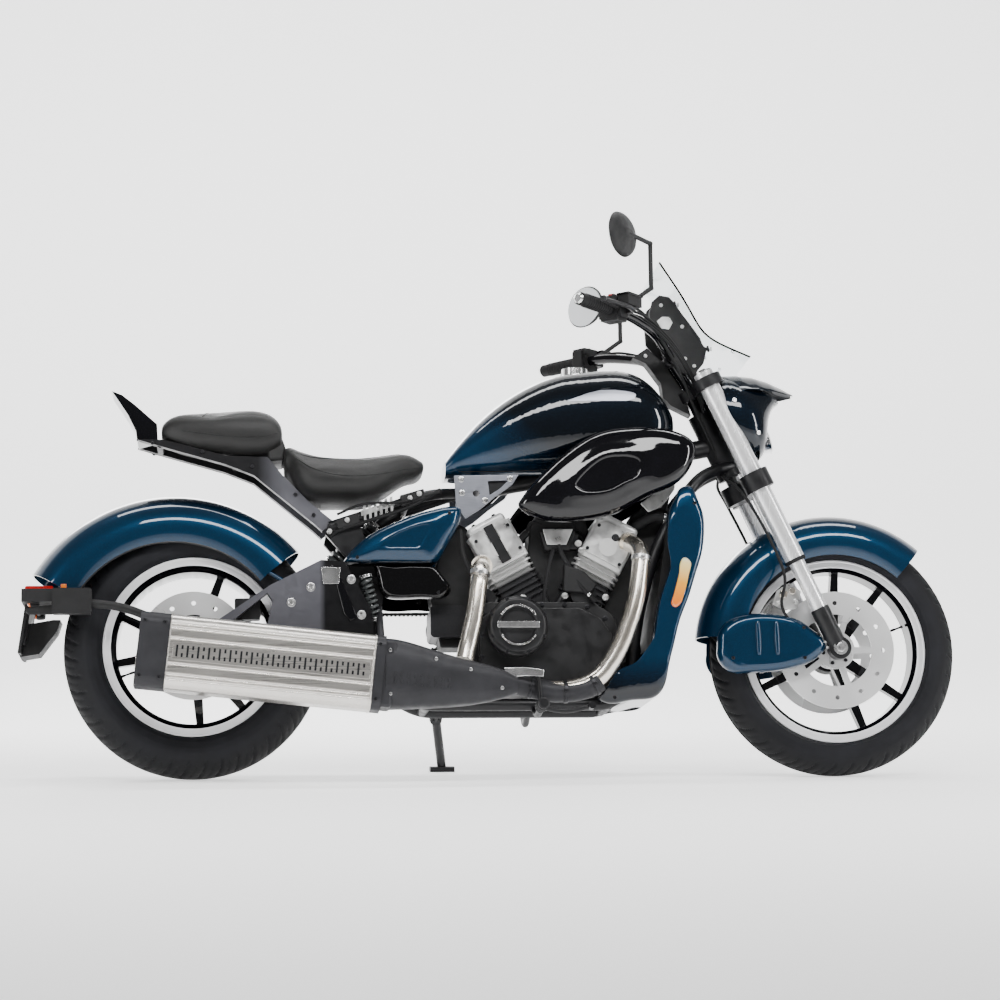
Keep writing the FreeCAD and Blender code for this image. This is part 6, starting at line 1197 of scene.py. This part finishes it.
# ---------------------------------------------------------------- fork and front brakes
def fork_trim():
    seals = Piece("fork_seals", "rubber", "steering")
    caps = Piece("fork_caps", "polished", "steering")
    pinch = Piece("clamp_bolts", "steel", "steering")
    for side in (-1, 1):
        leg = FORK_HALF * side
        seals.lathe(ring(27.5, 21.0, -8, 3, 1.5), fork_spot(0, up_fork(562), leg), STEER_UP, 56)
        top = fork_spot(0, up_fork(1062), leg)
        caps.lathe([(0.01, -2), (25, -2), (25, 3), (22, 5), (16, 5), (16, 3), (0.01, 3)], top, STEER_UP, 48)
        caps.lathe([(0.01, 2), (10, 2), (10, 9), (8.6, 10), (0.01, 10)], top, STEER_UP, 6)
        caps.lathe(ring(27.8, 26.4, -300, -296, 0.5), top, STEER_UP, 56)
        for level in (758, 776):
            pinch.socket(fork_spot(36, up_fork(level), leg - 22 * side), STEER_AHEAD, 5, 7)
        for level in (15, 30):
            pinch.socket(fork_spot(-26, level, leg), -STEER_AHEAD, 4.5, 5)
        pinch.bolt(FRONT_AXLE + Y * 128.5 * side, Y * side, 13, 9)
    pinch.lathe([(0.01, 0), (15, 0), (15, 10), (12, 13), (0.01, 13)], fork_spot(-35, up_fork(1022) + 29), STEER_UP, 6)
    for piece in (seals, caps, pinch):
        piece.done()
    mounts = Piece("caliper_brackets", "silver", "steering")
    mounts.both([(1512, 442), (1524, 480), (1556, 500), (1588, 478), (1578, 434), (1540, 428)], 90, 103)
    mounts.heads(Piece.bolt, ((1528, 103, 446), (1572, 103, 450)), 5.5, 6)
    mounts.done(bevel=2.0)
    pistons = Piece("caliper_pistons", "header", "steering")
    pistons.heads(Piece.knob, [(1540, 100, 470)], 11, 12)
    pistons.heads(Piece.knob, [(1564, 100, 478)], 9, 12)
    pistons.done()
    hose = Piece("front_brake_hoses", "rubber", "steering")
    hose.pipes([(1560, 100, 392), (1532, 122, 440), (1540, 128, 520), (1490, 132, 640), (1436, 112, 740),
                (1404, 70, 780), (1398, 30, 800)], 4, 10, 8)
    hose.pipe([(1398, 0, 800), (1380, -30, 860), (1330, -60, 960), (1270, -110, 1080), (1180, -200, 1190),
               (1122, -268, 1206)], 4, 10, 8)
    hose.pipe([(1398, -30, 800), (1404, 0, 806), (1398, 30, 800)], 7, 12, 4)
    hose.done()
    fittings = Piece("brake_fittings", "steel", "steering")
    fittings.heads(Piece.knob, [(1560, 92, 392)], 8, 16, 24)
    fittings.heads(Piece.bolt, [(1560, 108, 392)], 5.5, 5)
    fittings.heads(Piece.bolt, ((1512, 88, 352), (1568, 88, 330)), 5, 4)
    fittings.done()


fork_trim()
scoop_tree = node_tree("caliper_scoops")
for label, side in SIDES:
    ribs = Piece("scoop_ribs_" + label, "blue", "steering")
    for x in (1469, 1518):
        spots = [spot - normal * 1.5 for spot, normal in
                 hits(scoop_tree, inwards(side, [(x - n * 0.3, 308 + 11 * n) for n in range(9)]))]
        ribs.pipe(spots, 7.5, 14, 3, lambda v: 0.55 + 0.45 * math.sin(math.pi * min(1, max(0, v))) ** 0.5)
    ribs.done()
studs(pair("scoop_screws"), "caliper_scoops", ((1400, 300), (1590, 300), (1590, 380)), "dark_steel", 4.5,
      body="steering")


# ---------------------------------------------------------------- handlebar
def bar_trim():
    housing = Piece("switch_housings", "plastic", "steering")
    levers = Piece("levers", "black", "steering")
    buttons = Piece("switch_buttons", "red_paint", "steering")
    ribs = Piece("grip_ribs", "rubber", "steering")
    ends = Piece("bar_ends", "polished", "steering")
    cables = Piece("bar_cables", "rubber", "steering")
    lids = Piece("reservoir_lids", "gloss_black", "steering")
    for side in (-1, 1):
        end = Vector((986, 415 * side, 1183))
        inward = Vector((134, -157 * side, 0)).normalized()
        ahead = Vector((157, 134 * side, 0)).normalized()
        middle = end + inward * 142
        place = facing(middle, inward, Z)
        for low, high in (((-22, -26, 16), (22, 26, 34)), ((-22, -26, -32), (22, 26, -16)),
                          ((-18, -34, -24), (16, -24, 26)), ((-18, 24, -24), (16, 34, 26))):
            housing.box(low, high, place)
        near, far = sorted((34 * side, 66 * side))
        housing.box((-30, near, 2), (34, far, 28), place)
        lids.box((-33, near - 3, 28), (37, far + 3, 34), place)
        near, far = sorted((16 * side, 44 * side))
        housing.box((8, near, -12), (26, far, 10), place)
        for x, y in ((-10, -8), (8, 8)):
            housing.knob(place @ Vector((x, y, 33)), Z, 5, 6, 20)
        if side < 0:
            buttons.box((-12, -9, 33), (10, 9, 41), place)
        root = middle + ahead * 52 - Z * 4
        tip = end - inward * 6 + ahead * 66 - Z * 8
        levers.pipe([root + inward * 14, root - inward * 20 + ahead * 8, root.lerp(tip, 0.6) + ahead * 4, tip], 6.5,
                    12, 8, lambda t: 1.15 - 0.45 * t)
        levers.lathe([(0.01, -9), (6, -7), (9, 0), (6, 7), (0.01, 9)], tip, inward, 24)
        levers.bolt(root + inward * 12 + Z * 6, Z, 6, 6)
        for n in range(11):
            ribs.lathe(ring(18.4, 16.5, 4, 9, 0.9), end + inward * (n * 9.4 + 4), inward, 40)
        ends.lathe([(0.01, -8), (10, -8), (14, -4), (14, 2), (12, 4), (0.01, 4)], end - inward * 17, inward, 36)
        for n, drop in enumerate((0, 9, 17)):
            cables.pipe([middle + inward * 22 + Z * (8 - drop), (1168, 222 * side, 1190 - drop),
                         (1250, 140 * side, 1146 - drop), (1312, 78 * side, 1074 - n * 8),
                         (1352, (50 - n * 8) * side, 990 - n * 10)], 3.6, 10, 8)
    for piece, bevel in ((housing, 2.6), (levers, 0), (buttons, 1.2), (ribs, 0), (ends, 0), (cables, 0), (lids, 1.6)):
        piece.done(bevel=bevel)


bar_trim()


def dial_trim():
    top = Vector((1290, 0, 1145)) + STEER_UP * 36
    Piece("dial_bezel", "polished", "steering").lathe(ring(41.5, 36, -6, 3, 1.5), top, STEER_UP, 72).done()
    Piece("dial_face", "dark_glass", "steering").lathe([(0.01, -1), (36.4, -1), (36.4, 1.0), (30, 1.6), (0.01, 2.0)],
                                                       top, STEER_UP, 64).done()
    marks = Piece("dial_marks", "white", "steering")
    for n in range(21):
        a = math.radians(-40 + 260 * n / 20)
        ray = STEER_AHEAD * math.sin(a) - Y * math.cos(a)
        plate_on(marks, top + ray * 30 + STEER_UP * 1.6, STEER_UP, ray, (6 if n % 5 == 0 else 3.5, 1.4, 0.7), 0.2)
    marks.done()
    cluster = Piece("bar_shroud", "plastic", "steering")
    cluster.prism([(1166, 1122), (1201, 1106), (1240, 1052), (1246, 1012), (1268, 990), (1320, 964), (1300, 1030),
                   (1252, 1104), (1204, 1148)], -24, 24)
    cluster.both([(1212, 1172), (1208, 1236), (1216, 1268), (1236, 1286), (1262, 1282), (1284, 1258), (1318, 1212),
                  (1346, 1172), (1360, 1132), (1352, 1100), (1326, 1068), (1296, 1072), (1262, 1104), (1236, 1142)],
                 46, 57)
    glints = Piece("bar_fittings", "silver", "steering")
    screen_tree = node_tree("windscreen")
    for side in (-1, 1):
        for x, z in ((1262, 1262), (1344, 1140)):
            start = Vector((x, 51 * side, z))
            for spot, _ in hits(screen_tree, [(start + Vector((20, 0, 0)), (0.94, 0, 0.34))]):
                out = (spot - start).normalized()
                cluster.pipe([start, start.lerp(spot, 0.5), spot - out * 1.5], 6, 12, 3)
                cluster.knob(spot - out * 6, out, 10, 5, 24)
                glints.socket(spot + out * 4, out, 6, 4)
    cluster.done(bevel=4.0, angle=25)
    glints.both([(1228, 1214), (1242, 1226), (1262, 1226), (1270, 1210), (1260, 1192), (1240, 1194)], 56, 60)
    glints.heads(Piece.socket, ((1302, 56.5, 1112), (1326, 56.5, 1092), (1296, 56.5, 1200), (1240, 56.5, 1258),
                                (1262, 56.5, 1150), (1200, 24, 1126)), 5, 5)
    glints.done(bevel=1.0)
    mount = Piece("bar_clamps", "black", "steering")
    for side in (-1, 1):
        spot = Vector((1268, 36 * side, 1112))
        mount.lathe(ring(21, 12.9, -13, 13, 2), spot, Y, 40)
        for step in (-15, 15):
            mount.socket(spot + STEER_AHEAD * step + STEER_UP * 12, STEER_UP, 4.5, 8)
    mount.done()


dial_trim()

PEAK = [  # ahead, up, half width, droop at the sides
    (34, 786, 112, 66), (60, 796, 110, 62), (95, 782, 103, 58), (132, 761, 88, 52), (165, 733, 68, 40),
    (195, 700, 42, 24), (217, 673, 14, 6),
]


def lamp_trim():
    centre = FRONT_AXLE + STEER_UP * 612
    bowl = Piece("lamp_reflector", "lamp_glow", "steering")
    bowl.lathe([(12, 52), (30, 58), (48, 74), (60, 96), (61.5, 96), (50, 72), (31, 55), (12, 49), (12, 52)],
               centre, STEER_AHEAD, 64)
    bowl.lathe([(0.01, 56), (9, 58), (12, 66), (9, 74), (0.01, 77)], centre, STEER_AHEAD, 40)
    bowl.done()
    visor = Piece("lamp_peak", "navy", "steering")
    rows = [[p + (q - p) * k / 4 for p, q in zip(a, b)] for a, b in zip(PEAK, PEAK[1:]) for k in range(4)]
    rows.append(PEAK[-1])
    sides = 24
    outer = [fork_spot(ahead, up - droop * abs(2 * k / sides - 1) ** 2.3, wide * (2 * k / sides - 1))
             for ahead, up, wide, droop in rows for k in range(sides + 1)]
    visor.add(outer + [spot - STEER_UP * 3 - STEER_AHEAD for spot in outer], slab(len(rows), sides + 1))
    visor.done(angle=50)
    Piece("lamp_light_ring", "white", "steering").lathe(ring(60, 53, 94, 100, 2), centre, STEER_AHEAD, 72).done()
    screws = Piece("cowl_bolts", "polished", "steering")
    tree = node_tree("lamp_cowl")
    for side in (-1, 1):
        for spot, normal in hits(tree, inwards(side, ((1484, 901), (1420, 985)))):
            screws.socket(spot - normal, normal, 6.5, 4.5)
        screws.socket((1422.66, FORK_HALF * side, 1121.2), (0.35, 0, 0.94), 6, 5)
    screws.done()


lamp_trim()


# ---------------------------------------------------------------- pegs
pads, caps = Piece("peg_rubbers", "rubber"), Piece("peg_ends", "black")
profile = [(13.6, 250)]
for y in range(251, 321, 10):
    profile += [(16.2, y), (16.2, y + 6), (14.4, y + 7), (14.4, y + 9)]
profile += [(13.6, 321), (13.6, 250)]
for side, level in ((-1, 162), (1, 208)):
    pads.lathe(profile, (880, 0, level), Y * side, 36)
    caps.lathe([(0.01, 326), (13, 326), (15, 328), (15, 331), (11, 334), (0.01, 334)], (880, 0, level), Y * side, 32)
pads.done()
caps.done()
rod = Piece("shift_linkage", "steel")
rod.pipe([(1004, 246, 207), (960, 222, 226), (900, 190, 250), (820, 160, 268), (770, 152, 276)], 4, 12, 6)
for spot in ((1004, 239, 207), (770, 145, 276)):
    rod.knob(spot, Y, 9, 14, 24)
rod.done()
